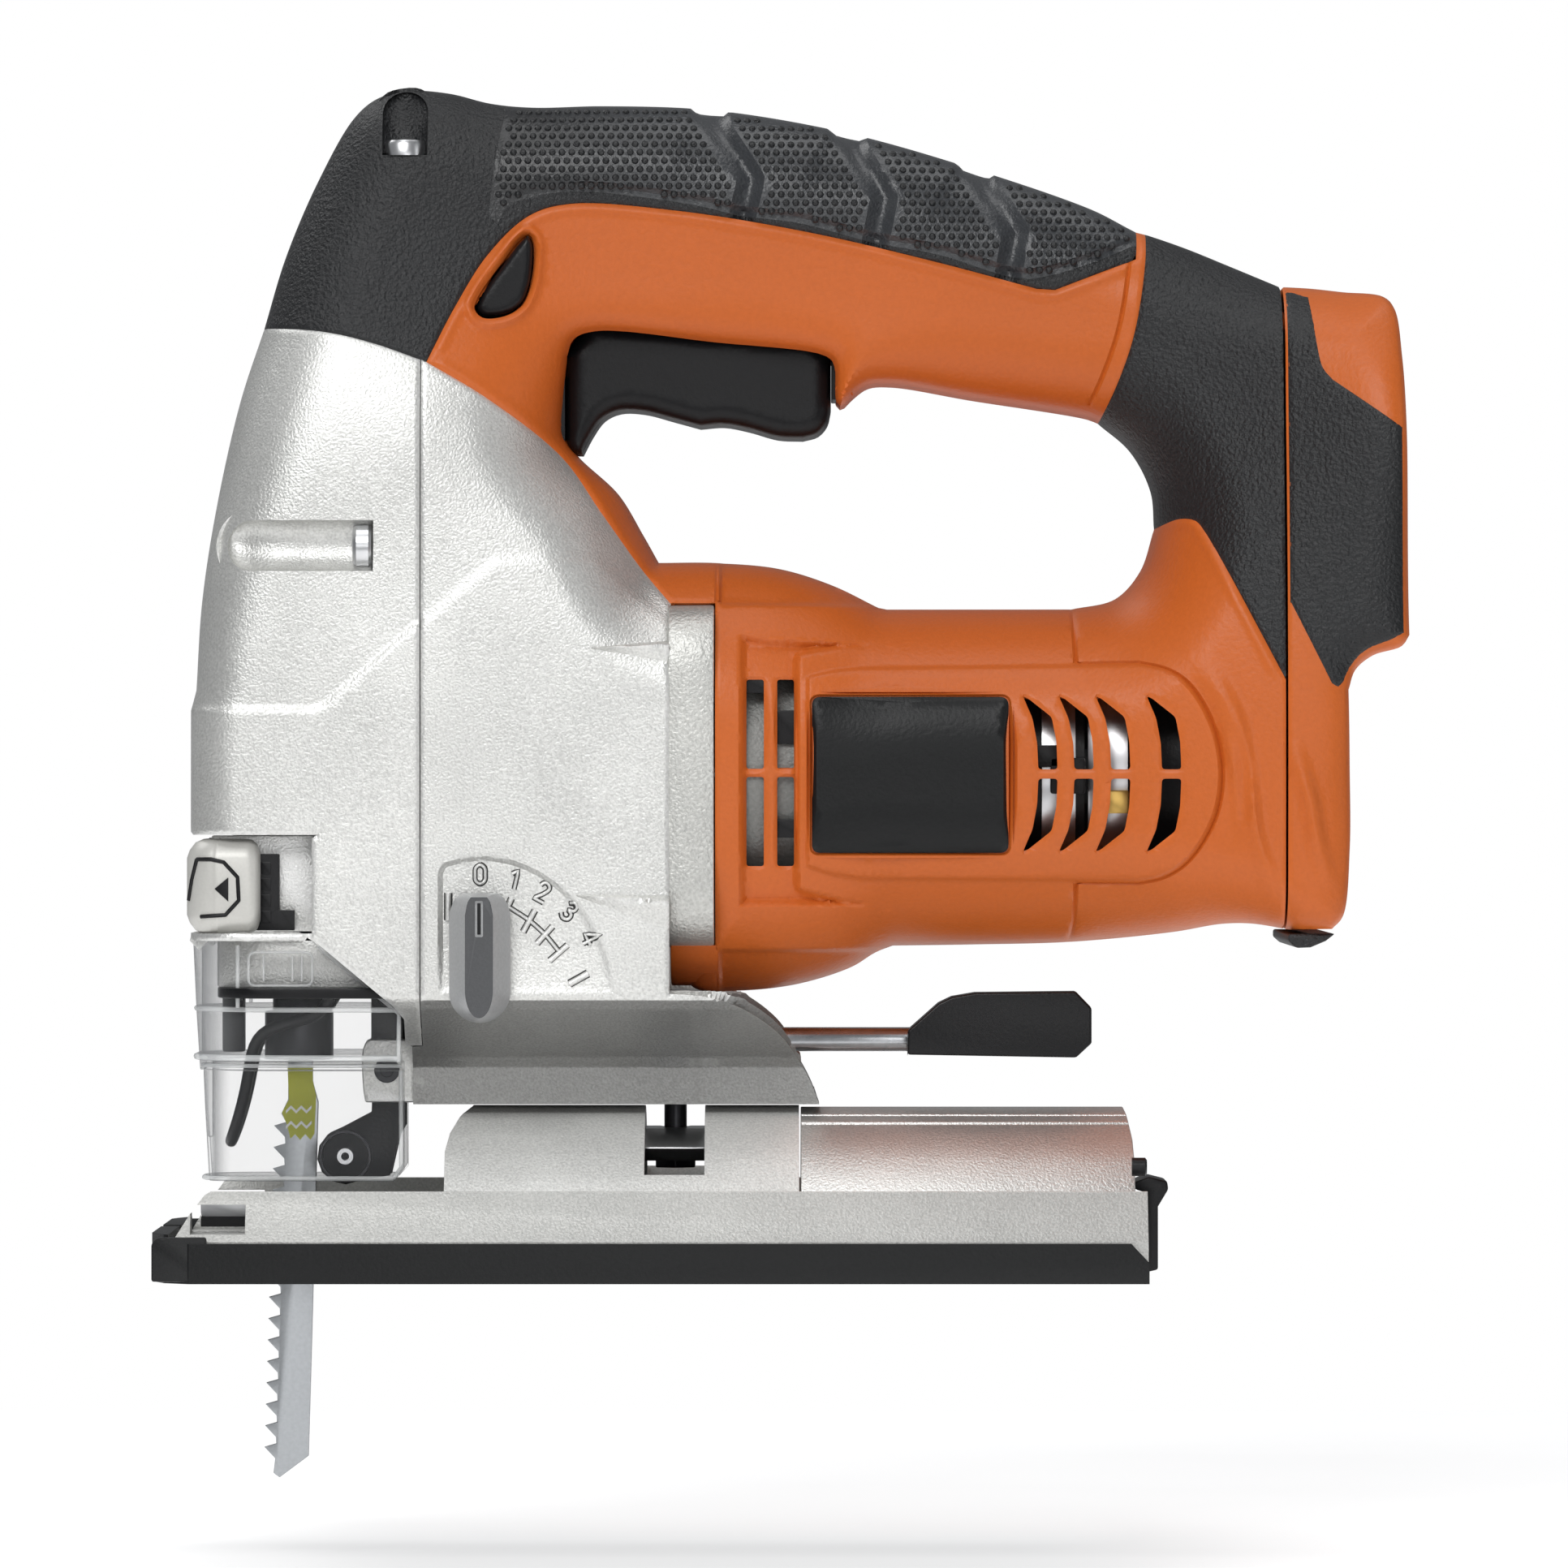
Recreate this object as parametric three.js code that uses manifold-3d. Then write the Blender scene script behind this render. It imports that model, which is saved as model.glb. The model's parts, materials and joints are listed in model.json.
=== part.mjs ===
// Cordless top-handle jigsaw, built as the real tool is: two clamshell halves with rubber grips round a motor,
// a cast gear case with a crank-driven plunger, a pendulum roller, a tilting shoe and a slide-on battery mount.
// Millimetres. +Z is up, -X is the cutting front, -Y is the tool's left side.
// The origin is the middle of the sole's flat underside.
import * as THREE from "three";
import { mergeVertices } from "three/addons/utils/BufferGeometryUtils.js";
import Module from "manifold-3d";

const wasm = await Module();
wasm.setup();

// ---------- driving dimensions ----------
const GAP = 0.3; // clearance between pieces that touch
const SHELL = 3; // cast wall thickness
const HOUSING_WALL = 5; // moulded wall thickness, with the overmould
const SKIN = 2; // rubber overmould thickness
const CORE_GAP = 0.8; // clearance under the overmould
const FAR = 60; // half-width of a cutting prism that passes both sides
const MOTOR_Z = 87; // height of the motor's axis
const MODULE = 1; // gear module
const PINION_TEETH = 10;
const GEAR_TEETH = 38;
const CRANK_Z = MOTOR_Z + (MODULE * (PINION_TEETH + GEAR_TEETH)) / 2;
const CRANK_R = 12.5; // half of the 25 mm stroke
const CRANK_REST = -2; // the crank pin's height from its axis at rest
const PLUNGER_X = -62.9; // the blade's line of travel
const YOKE_Z = CRANK_Z + CRANK_REST;
const SWING_Z = 133.5; // the plunger guide's pivot
const ARM_X = -47.2; // the pendulum arm's pivot
const ARM_Z = 35.8;
const ROLLER_X = -54.6;
const ROLLER_Z = 20.7;
const ROLLER_R = 4.6;
const NOSE_BACK = -40.7; // parting line between nose cover and gear case
const CASE_BACK = 2.2; // back face of the gear case
const COLLAR_BACK = 9.9; // back face of the motor flange
const COLLAR_R = 29.4;
const MOUNT_X = 108.4; // parting line between the clamshells and the battery mount
const ARCH_R = 29.5; // the shoe's tilt arch, centred on the sole plane
const ARCH_WALL = 3;
const BOLT_X = 3; // the shoe clamp's bolt
const SHOE_HALF = 39.7; // half-width of the metal shoe
const KNOB_X = -30.4; // the pendulum selector's axis
const KNOB_Z = 49.8;

// ---------- colours ----------
function finish(colour, roughness, metalness) {
  return new THREE.MeshStandardMaterial({ color: colour, roughness, metalness });
}
const ORANGE = finish(0xd2691e, 0.5, 0);
const RUBBER = finish(0x2e2e30, 0.75, 0);
const BLACK = finish(0x222224, 0.5, 0);
const SILVER = finish(0xb9b8b2, 0.4, 0.6);
const CAST = finish(0xa8a7a2, 0.45, 0.8);
const STEEL = finish(0xb4b6b8, 0.3, 1);
const COPPER = finish(0xb56a35, 0.4, 1);
const BRASS = finish(0xc9a24a, 0.35, 1);
const CLEAR = finish(0xe8eef0, 0.1, 0);
const GREEN = finish(0x1f6b3a, 0.6, 0);

// ---------- solid building ----------
function solid(geometry) {
  const bare = new THREE.BufferGeometry();
  bare.setAttribute("position", geometry.getAttribute("position"));
  if (geometry.index) bare.setIndex(geometry.index);
  const merged = mergeVertices(bare, 1e-4);
  const vertProperties = merged.attributes.position.array;
  const triVerts = new Uint32Array(merged.index.array);
  const made = new wasm.Manifold(new wasm.Mesh({ numProp: 3, vertProperties, triVerts }));
  if (made.volume() > 0) return made;
  triVerts.reverse();
  return new wasm.Manifold(new wasm.Mesh({ numProp: 3, vertProperties, triVerts }));
}

function unite(...solids) {
  return solids.reduce((a, b) => a.add(b));
}

function cut(body, ...tools) {
  return tools.reduce((a, b) => a.subtract(b), body);
}

function box(x0, x1, y0, y1, z0, z1) {
  const geometry = new THREE.BoxGeometry(x1 - x0, y1 - y0, z1 - z0);
  return solid(geometry.translate((x0 + x1) / 2, (y0 + y1) / 2, (z0 + z1) / 2));
}

// A round bar along an axis. The centre is the two other coordinates, in X, Y, Z order.
function rod(axis, radius, from, to, [a, b], sides = 16, endRadius = radius) {
  const geometry = new THREE.CylinderGeometry(endRadius, radius, to - from, sides);
  const mid = (from + to) / 2;
  if (axis === "x") geometry.rotateZ(-Math.PI / 2).translate(mid, a, b);
  if (axis === "y") geometry.translate(a, mid, b);
  if (axis === "z") geometry.rotateX(Math.PI / 2).translate(a, b, mid);
  return solid(geometry);
}

function ring(axis, outer, inner, from, to, centre, sides = 16) {
  return cut(rod(axis, outer, from, to, centre, sides), rod(axis, inner, from - 1, to + 1, centre, sides));
}

// A profile extruded along an axis: Y and Z across for x, X and Z across for y, X and Y across for z.
function prism(axis, profile, from, to, curveSegments = 4) {
  const shape = Array.isArray(profile) ? outline(profile) : profile;
  const options = { depth: to - from, bevelEnabled: false, curveSegments };
  const geometry = new THREE.ExtrudeGeometry(shape, options);
  const X = new THREE.Vector3(1, 0, 0);
  const Y = new THREE.Vector3(0, 1, 0);
  const Z = new THREE.Vector3(0, 0, 1);
  const turn = new THREE.Matrix4();
  if (axis === "x") turn.makeBasis(Y, Z, X).setPosition(from, 0, 0);
  if (axis === "y") turn.makeBasis(X, Z, Y.clone().negate()).setPosition(0, to, 0);
  if (axis === "z") turn.setPosition(0, 0, from);
  return solid(geometry.applyMatrix4(turn));
}

function outline(points) {
  return new THREE.Shape(points.map(([a, b]) => new THREE.Vector2(a, b)));
}

// The points of a smooth curve through a few given ones.
function smooth(points, steps = 8) {
  const curve = new THREE.SplineCurve(points.map(([a, b]) => new THREE.Vector2(a, b)));
  return curve.getPoints(steps).map((p) => [p.x, p.y]);
}

// The points of an arc about a centre, with angles in degrees.
function arc([ca, cb], radius, start, end, steps = 8) {
  return Array.from({ length: steps + 1 }, (_, i) => {
    const angle = ((start + ((end - start) * i) / steps) * Math.PI) / 180;
    return [ca + radius * Math.cos(angle), cb + radius * Math.sin(angle)];
  });
}

// A thin slab that follows a line in the XZ plane, used to part two pieces.
function seam(points, width = GAP) {
  const left = [];
  const right = [];
  points.forEach(([x, z], i) => {
    const [x0, z0] = points[Math.max(i - 1, 0)];
    const [x1, z1] = points[Math.min(i + 1, points.length - 1)];
    const length = Math.hypot(x1 - x0, z1 - z0);
    const nx = (-(z1 - z0) / length) * (width / 2);
    const nz = ((x1 - x0) / length) * (width / 2);
    left.push([x + nx, z + nz]);
    right.unshift([x - nx, z - nz]);
  });
  return prism("y", [...left, ...right], -FAR, FAR);
}

// A body lofted through rounded sections. A station is [place along the axis, low, high, half-width, power, back half-width].
// Sections of a loft along z run from a front X to a back X, and of one along x from a low Z to a high Z.
function loft(axis, stations, inset = 0, sides = 16) {
  const last = stations.length - 1;
  const points = [];
  stations.forEach(([place, low, high, half, power = 3, backHalf = half], i) => {
    const at = place + (i === 0 ? inset : 0) - (i === last ? inset : 0);
    for (let k = 0; k < sides; k++) {
      const angle = (2 * Math.PI * (k + 0.5)) / sides;
      const u = Math.sign(Math.cos(angle)) * Math.abs(Math.cos(angle)) ** (2 / power);
      const v = Math.sign(Math.sin(angle)) * Math.abs(Math.sin(angle)) ** (2 / power);
      const across = (low + high) / 2 + u * ((high - low) / 2 - inset);
      const wide = v * (half + ((backHalf - half) * (u + 1)) / 2 - inset);
      points.push(...(axis === "x" ? [at, wide, across] : [across, wide, at]));
    }
  });
  const index = [];
  for (let i = 0; i < last; i++) {
    for (let k = 0; k < sides; k++) {
      const a = i * sides + k;
      const b = i * sides + ((k + 1) % sides);
      index.push(a, b, a + sides, b, b + sides, a + sides);
    }
  }
  for (let k = 1; k < sides - 1; k++) {
    index.push(0, k + 1, k);
    index.push(last * sides, last * sides + k, last * sides + k + 1);
  }
  const geometry = new THREE.BufferGeometry();
  geometry.setAttribute("position", new THREE.Float32BufferAttribute(points, 3));
  return solid(geometry.setIndex(index));
}

// ---------- the tool's group ----------
const jigsaw = new THREE.Group();

function add(name, body, material) {
  const { numProp, vertProperties, triVerts } = body.getMesh();
  const count = vertProperties.length / numProp;
  const position = new Float32Array(count * 3);
  for (let i = 0; i < count; i++) {
    position.set(vertProperties.subarray(i * numProp, i * numProp + 3), i * 3);
  }
  const geometry = new THREE.BufferGeometry();
  geometry.setAttribute("position", new THREE.BufferAttribute(position, 3));
  geometry.setIndex(new THREE.BufferAttribute(triVerts, 1));
  const mesh = new THREE.Mesh(geometry, material);
  mesh.name = name;
  jigsaw.add(mesh);
}

// The two sides of the tool: the tag for names and the sign of Y.
const SIDES = [
  ["left", -1],
  ["right", 1],
];

function halfSpace(sign) {
  return sign < 0 ? box(-200, 300, -100, -GAP / 2, -100, 300) : box(-200, 300, GAP / 2, 100, -100, 300);
}

// ---------- outer form ----------
const HEAD = [
  [46.5, -80.8, 16, 27.5, 5],
  [60, -80.8, 16, 30, 5],
  [99, -80.8, 16, 30, 5],
  [101.5, -79.9, 16, 29.6, 5],
  [117, -79, 9, 29.4, 5],
  [134, -76.6, -5.6, 28.5, 4.4, 23],
  [152, -72.6, -15.8, 27, 4, 19],
  [165, -68.7, -12, 25.5, 3.6, 18],
  [178, -65, -10, 23.5, 3.2, 18],
  [191, -59.4, -14, 21, 3, 17],
  [201, -53.4, -22, 16, 2.8, 14],
  [207.3, -48, -34, 8, 2.4],
];
const HANDLE = [
  [-44, 168, 203, 15, 2.6],
  [-29, 166, 204.4, 17, 2.8],
  [6, 160.8, 203.5, 17.5, 2.8],
  [30, 156.6, 200.3, 17.5, 2.8],
  [53, 153.3, 193.6, 17.5, 2.8],
  [76, 149.4, 185.8, 18, 2.8],
  [90, 142, 180.3, 20, 2.8],
  [112, 132, 171.5, 26, 2.8],
];
const REAR_LEG = [
  [100, 77, 114, 33, 4],
  [116, 77.5, 114, 31.5, 3.6],
  [123, 84.2, 114, 29, 3.4],
  [131, 87, 114, 26.5, 3.2],
  [145, 82, 114, 23, 3],
  [151, 75.5, 114, 22, 3],
  [160, 76, 114, 22, 3],
];
const BARREL = [
  [4, 57.4, 116.2, 29.4, 2],
  [40, 57.4, 116.2, 29.4, 2.4],
  [72, 58, 116.2, 30, 2.8],
  [90, 60, 121, 33, 3.4],
  [112, 60.3, 126, 37, 4.6],
];
const BULGE = [
  [0.3, 51, 124.3, 15, 4],
  [22, 50.2, 123.6, 16, 4],
  [31, 52.8, 120.8, 15, 4],
  [40, 57.6, 116, 12, 4],
];
const MOUNT = [
  [60.2, 102, 117.3, 34.5, 5],
  [64, 102, 118.4, 36.8, 6],
  [75, 102, 119.5, 37.5, 6],
  [108.4, 102, 119.4, 38, 6],
  [109.8, 102, 130.9, 38, 6],
  [147, 102, 129.4, 38, 6],
  [159.5, 102, 128.9, 34.5, 5],
  [167.6, 102, 127.8, 28, 4],
  [171.2, 102, 125.5, 22, 3.5],
];

function headForm(inset) {
  return loft("z", HEAD, inset);
}
function clamshellForm(inset) {
  const forms = [loft("x", HANDLE, inset), loft("z", REAR_LEG, inset), loft("x", BARREL, inset)];
  return unite(...forms, headForm(inset));
}

// Parting lines on the tool's side, in X and Z.
const GRIP_TOP_LINE = smooth([[-90, 166], [-68.7, 164.9], [-57.3, 163.8], [-48.9, 161.8], [-39.8, 158.6]], 6);
const THROAT_LINE = smooth([[-39.8, 158.6], [-29.3, 152.3], [-16.7, 142.5], [-9.7, 132.7], [-2.7, 122.9], [1.4, 116.6]], 9);
const GRIP_LOW_LINE = [
  ...smooth([[-39.8, 158.6], [-34.9, 168.4], [-29.3, 177.5], [-22.3, 184.2], [-15.3, 186.3]], 8),
  ...smooth([[2.9, 185.2], [26.7, 181.3], [47.7, 176.4], [65.9, 171.6]], 5),
  [83.5, 176.5],
];
const RING_LINE = smooth([[83.6, 200], [83.7, 182], [81.4, 164.9], [75.2, 149.8], [71, 140]], 7);
const RING_LINE_BACK = RING_LINE.map(([x, z]) => [x + 1.6, z]);
const REAR_GRIP_LINE = [[70, 131.3], [93.2, 131.9], [96.7, 125.7], [MOUNT_X + 4, 97]];

const GRIP_REGION = prism("y", [
  ...GRIP_TOP_LINE,
  ...GRIP_LOW_LINE,
  ...RING_LINE.slice(0, 3).reverse(),
  [83.6, 230],
  [-90, 230],
], -FAR, FAR);
const REAR_GRIP_REGION = prism("y", [...RING_LINE_BACK, ...REAR_GRIP_LINE, [MOUNT_X + 4, 210]], -FAR, FAR);
const CASE_REGION = prism("y", [
  [NOSE_BACK, 158.9],
  ...THROAT_LINE,
  [CASE_BACK, 116.6],
  [CASE_BACK, 40],
  [NOSE_BACK, 40],
], -FAR, FAR);
const NOSE_REGION = prism("y", [
  ...GRIP_TOP_LINE,
  [NOSE_BACK, 158.6],
  [NOSE_BACK, 40.3],
  [-43.7, 40.3],
  [-43.7, 46.2],
  [-45.4, 47.3],
  [-58, 57.8],
  [-59.4, 59.2],
  [-90, 59.2],
], -FAR, FAR);
const SEAMS = unite(
  seam(GRIP_TOP_LINE),
  seam(THROAT_LINE),
  seam([[NOSE_BACK, 30], [NOSE_BACK, 160]]),
);
const SKIN_SEAMS = unite(seam(GRIP_LOW_LINE), seam(RING_LINE), seam(RING_LINE_BACK), seam(REAR_GRIP_LINE));

// ---------- trigger and lock button shapes ----------
const TRIGGER = [
  [-14.2, 161.4],
  [-10.8, 163.2],
  [27.9, 158.7],
  [30.2, 156.2],
  [29.3, 149],
  ...smooth([[27.3, 146.6], [24.9, 145.6], [17.2, 147.4], [7.3, 147.9]], 6),
  ...smooth([[3.6, 149.1], [-3.5, 150.3], [-10.2, 148.3], [-12.7, 142.9]], 6),
  [-14.1, 142.7],
  [-16.1, 146],
  [-15.8, 151.8],
];
const TRIGGER_HALF = 10.5;
const LOCK_BUTTON = [
  ...smooth([[-31.8, 168.2], [-27.9, 175.4], [-23.7, 180.3], [-21.9, 181]], 4),
  [-21.4, 179.5],
  ...smooth([[-22.4, 171.9], [-25.6, 167.3], [-30.9, 167]], 4),
];

function grown(points, by) {
  const cx = points.reduce((s, p) => s + p[0], 0) / points.length;
  const cz = points.reduce((s, p) => s + p[1], 0) / points.length;
  return points.map(([x, z]) => {
    const length = Math.hypot(x - cx, z - cz);
    return [x + ((x - cx) / length) * by, z + ((z - cz) / length) * by];
  });
}

// ---------- clamshells and grips ----------
const outer = clamshellForm(0);
const hollow = clamshellForm(HOUSING_WALL);
const bulge = loft("x", BULGE, 0, 12);
const flangeRoom = rod("x", COLLAR_R + GAP, -10, COLLAR_BACK + GAP / 2, [0, MOTOR_Z], 32);
const mountSide = box(MOUNT_X - GAP / 2, 200, -FAR, FAR, -50, 250);
const triggerRoom = unite(
  prism("y", grown(TRIGGER, 0.5), -FAR, FAR),
  box(-16.6, 31, -TRIGGER_HALF - 0.5, TRIGGER_HALF + 0.5, 141, 169.5),
);
const lockRoom = prism("y", grown(LOCK_BUTTON, 0.4), -FAR, FAR);

// Vent slots on both sides: straight ones over the fan and four curved ones over the motor's end.
function curvedVent(x) {
  const profile = [[x, 100.6], [x + 2.4, 100.6], [x + 6.4, MOTOR_Z], [x + 2.4, 73.4], [x, 73.4], [x + 3, MOTOR_Z]];
  return prism("y", profile, -FAR, FAR);
}
const VENTS = unite(
  box(15.6, 19.2, -FAR, FAR, 72, 103.4),
  box(20.8, 23.6, -FAR, FAR, 72, 103.4),
  ...[63.3, 69.6, 75.9, 84.4].map(curvedVent),
);
const LABEL = [26.7, 60.8, 73.9, 100.5];
const LABEL_DEEP = 26.5; // how far from the middle plane the label plate's back lies

const SCREW_PLACES = [[58, 166], [98, 152], [20, 119.8]];

const shellBlank = cut(
  unite(cut(outer, headForm(-1).intersect(box(-100, CASE_BACK + GAP / 2, -FAR, FAR, 0, 116.6))), bulge),
  CASE_REGION,
  NOSE_REGION,
  SEAMS,
  flangeRoom,
  mountSide,
  box(-90, -10, -FAR, FAR, 0, 100),
  box(-12, COLLAR_BACK, -FAR, FAR, 57, 116.9),
  box(0, CASE_BACK + GAP, -FAR, FAR, 40, 58),
  box(-90, 35, -FAR, FAR, 0, 49.3),
);
const gripSkin = cut(outer, clamshellForm(SKIN), mountSide);
const coreForm = clamshellForm(SKIN + CORE_GAP);
const bosses = unite(...SCREW_PLACES.map(([x, z]) => rod("y", 4.6, -9, 9, [x, z], 8)));
const motorRibs = cut(
  unite(box(34, 36, -FAR, FAR, 50, 118), box(58, 60, -FAR, FAR, 50, 118)).intersect(outer),
  rod("x", 20.2, 30, 64, [0, MOTOR_Z], 20),
);
const shell = cut(
  unite(cut(shellBlank, hollow), bosses.intersect(outer), motorRibs),
  cut(unite(GRIP_REGION, REAR_GRIP_REGION, SKIN_SEAMS), coreForm),
  triggerRoom,
  lockRoom,
  VENTS,
);
const lugHook = prism("y", [[30.9, 158], [32, 151.4], [33.4, 153.4], [36.5, 155.6], [40, 158]], -9, 9);

for (const [side, sign] of SIDES) {
  const half = halfSpace(sign);
  const bore = SCREW_PLACES.map(([x, z]) => rod("y", 1.7, -7, FAR, [x, z], 8));
  const topAt = [-43.7, sign * 15.5];
  const topScrewRoom = unite(rod("z", 4, 194.7, 215, topAt, 12), rod("z", 1.5, 190, 195, topAt, 8));
  const labelSeat = box(LABEL[0] - GAP, LABEL[1] + GAP, LABEL_DEEP - GAP, FAR, LABEL[2] - GAP, LABEL[3] + GAP);
  let body = cut(unite(shell, lugHook).intersect(half), ...bore, topScrewRoom);
  body = cut(body, sign > 0 ? labelSeat : labelSeat.mirror([0, 1, 0]));
  const parts = body.decompose().sort((a, b) => b.volume() - a.volume());
  add(`${side}_housing`, parts[0], ORANGE);

  const grip = cut(gripSkin.intersect(GRIP_REGION).intersect(half), SEAMS, SKIN_SEAMS, topScrewRoom, lockRoom);
  add(`${side}_grip`, grip.decompose().sort((a, b) => b.volume() - a.volume())[0], RUBBER);
  const rear = gripSkin.intersect(REAR_GRIP_REGION).intersect(half);
  add(`${side}_rear_grip`, cut(rear, SKIN_SEAMS).decompose().sort((a, b) => b.volume() - a.volume())[0], RUBBER);
}

// ---------- battery mount ----------
const MOUNT_PAD_LINE = [
  [100, 116.6],
  [MOUNT_X, 116.6],
  [116.3, 101.4],
  [118.2, 101.6],
  ...smooth([[121, 107], [125, 110], [129.6, 111.4]], 3),
  [128.9, 146],
  [116.3, 155.8],
  [114.7, 159.3],
  [113.6, 169],
  [100, 172],
];
const MOUNT_PAD = prism("y", MOUNT_PAD_LINE, -FAR, FAR);
{
  const frontWall = MOUNT_X + GAP / 2;
  const keep = box(frontWall, 140, -FAR, FAR, 50, 200);
  const form = loft("z", MOUNT).intersect(keep);
  const bay = box(frontWall + 4, 150, -32.5, 32.5, 50, 163);
  const rails = SIDES.map(([, sign]) => {
    const y = [28.5, 33].map((at) => at * sign).sort((a, b) => a - b);
    const undercut = [27, 31].map((at) => at * sign).sort((a, b) => a - b);
    return cut(box(frontWall + 3, 117.5, ...y, 66, 158), box(113.8, 115.6, ...undercut, 50, 150));
  });
  const padSkin = cut(form, loft("z", MOUNT, SKIN));
  const coreCut = cut(MOUNT_PAD, loft("z", MOUNT, SKIN + CORE_GAP));
  const blockHole = box(90, 114, -13 - GAP, 13 + GAP, 118 - GAP, 152 + GAP);
  add("battery_mount", cut(unite(cut(form, bay), ...rails), coreCut, blockHole), ORANGE);
  for (const [side, sign] of SIDES) {
    const region = box(0, 200, 20, 60, 0, 250);
    const pad = padSkin.intersect(MOUNT_PAD).intersect(sign > 0 ? region : region.mirror([0, 1, 0]));
    add(`${side}_mount_pad`, cut(pad, bay, seam(MOUNT_PAD_LINE, 2 * GAP)).decompose().sort((a, b) => b.volume() - a.volume())[0], RUBBER);
  }
  const block = box(frontWall + 1, 123, -13, 13, 118, 152);
  const contactSlots = [-9, -3, 3, 9].map((y) => box(116, 130, y - 1, y + 1, 110, 146));
  add("terminal_block", cut(block, ...contactSlots), BLACK);
  const bumper = prism("y", [[108.9, 59.9], ...smooth([[108.9, 58.6], [110.9, 57.2], [114.6, 58.2], [117, 59.9]], 4)], -30, 30);
  add("rear_bumper", bumper, RUBBER);
}

// ---------- nose cover ----------
{
  const skin = cut(headForm(0).intersect(NOSE_REGION), cut(headForm(SHELL), box(-90, -30, -FAR, FAR, 0, 62)), SEAMS);
  const lowRoom = box(-77.8, -30, -26.5, 26.5, 40, 59.4);
  const chamber = unite(box(-77.8, -58, -25, 25, 61.4, 66), box(-60, -30, -26.5, 26.5, 59.3, 66));
  const tab = unite(box(-43.7, NOSE_BACK - GAP / 2, -25, -20, 40.3, 50), box(-43.7, NOSE_BACK - GAP / 2, 20, 25, 40.3, 50));
  const plungerHole = rod("z", 9.5, 50, 70, [PLUNGER_X, 0], 20);
  const leverPocket = unite(
    box(-90, -76.2, -FAR, FAR, 59.1, 76.8),
    box(-90, -59.4, -FAR, -23.6, 59.1, 76.8),
    box(-90, -74, 14, FAR, 59.1, 76.8),
  );
  const floorShelf = box(-80.4, -76.2, -20, 20, 59.2, 59.3);
  let nose = unite(cut(skin, lowRoom, chamber), tab);
  for (const sign of [-1, 1]) {
    nose = unite(nose, rod("x", 5.6, -73, NOSE_BACK - GAP / 2, [sign * 25.7, 126.8], 14).intersect(headForm(0)));
    nose = cut(nose, rod("x", 4.5, -78, -50, [sign * 26.4, 126.8], 12), rod("x", 1.9, -60, -30, [sign * 25.2, 126.8], 8));
    nose = cut(nose, rod("y", 3, sign > 0 ? 11 : -25.8, sign > 0 ? 25.8 : -11, [PLUNGER_X, SWING_Z], 12));
  }
  add("nose_cover", cut(nose, plungerHole, leverPocket, floorShelf).decompose().sort((a, b) => b.volume() - a.volume())[0], SILVER);
}

// ---------- gear case with the foot that rides on the shoe's arch ----------
const FOOT_SECTION = [
  ...arc([0, 0], ARCH_R + GAP, 107.6, 72.4, 6),
  [10.5, 35],
  [25, 46.4],
  [25, 49],
  [-25, 49],
  [-25, 46.4],
  [-10.5, 35],
];
{
  const walls = cut(headForm(0).intersect(CASE_REGION), headForm(SHELL).intersect(box(-90, -1.5, -FAR, FAR, 0, 200)), SEAMS);
  const foot = prism("x", FOOT_SECTION, NOSE_BACK - 2.8, 28.1);
  const footSide = prism("y", [
    [-50, 20],
    [28.2, 20],
    ...smooth([[28.1, 30.4], [25, 36.5], [19, 43.2], [10, 47.8], [CASE_BACK, 49]], 6),
    [-50, 49],
  ], -FAR, FAR);
  const lugs = unite(box(-50.4, -41, -9.4, -6.6, 30.4, 40.6), box(-50.4, -41, 6.6, 9.4, 30.4, 40.6));
  const bearingWalls = unite(
    box(-40.4, -35, -29, 29, CRANK_Z - 12, CRANK_Z + 22),
    box(-21, -15, -29, 29, CRANK_Z - 12, CRANK_Z + 12),
    box(-2, 0, -29, 29, MOTOR_Z - 16, MOTOR_Z + 16),
  ).intersect(headForm(1));
  const leverTrough = box(-10, 40, -6.6, 40, 36.6, 46.2);
  const leverTroughBack = box(CASE_BACK, 40, -6.6, 40, 36.6, 60);
  let gearCase = unite(walls, foot.intersect(footSide), lugs, bearingWalls);
  gearCase = cut(
    gearCase,
    leverTrough,
    leverTroughBack,
    rod("z", 2.3, 20, 40, [BOLT_X, 0], 12),
    rod("x", 8.3, -45, -10, [0, CRANK_Z], 16),
    rod("x", 9.2, -4, 5, [0, MOTOR_Z], 16),
    rod("y", 3.4, -FAR, -12, [KNOB_X, KNOB_Z], 14),
    rod("y", 1.9, -12, 12, [ARM_X, ARM_Z], 12),
    box(-60, -43.9, -6.6, 6.6, 20, 50),
    ...[-1, 1].map((s) => rod("x", 1.9, -60, -34, [s * 25.2, 126.8], 8)),
  );
  add("gear_case", gearCase.decompose().sort((a, b) => b.volume() - a.volume())[0], CAST);
  const web = rod("x", COLLAR_R - 1, 4, 7, [0, MOTOR_Z], 28);
  const flange = unite(ring("x", COLLAR_R, COLLAR_R - 4, CASE_BACK + GAP, COLLAR_BACK - GAP / 2, [0, MOTOR_Z], 28), web);
  const windows = [0, 90, 180, 270].map((deg) => {
    const turn = (deg * Math.PI) / 180;
    return rod("x", 5, 0, 12, [17 * Math.cos(turn), MOTOR_Z + 17 * Math.sin(turn)], 8);
  });
  add("motor_flange", cut(flange, rod("x", 8.3, 0, 12, [0, MOTOR_Z], 20), ...windows), CAST);
}

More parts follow.
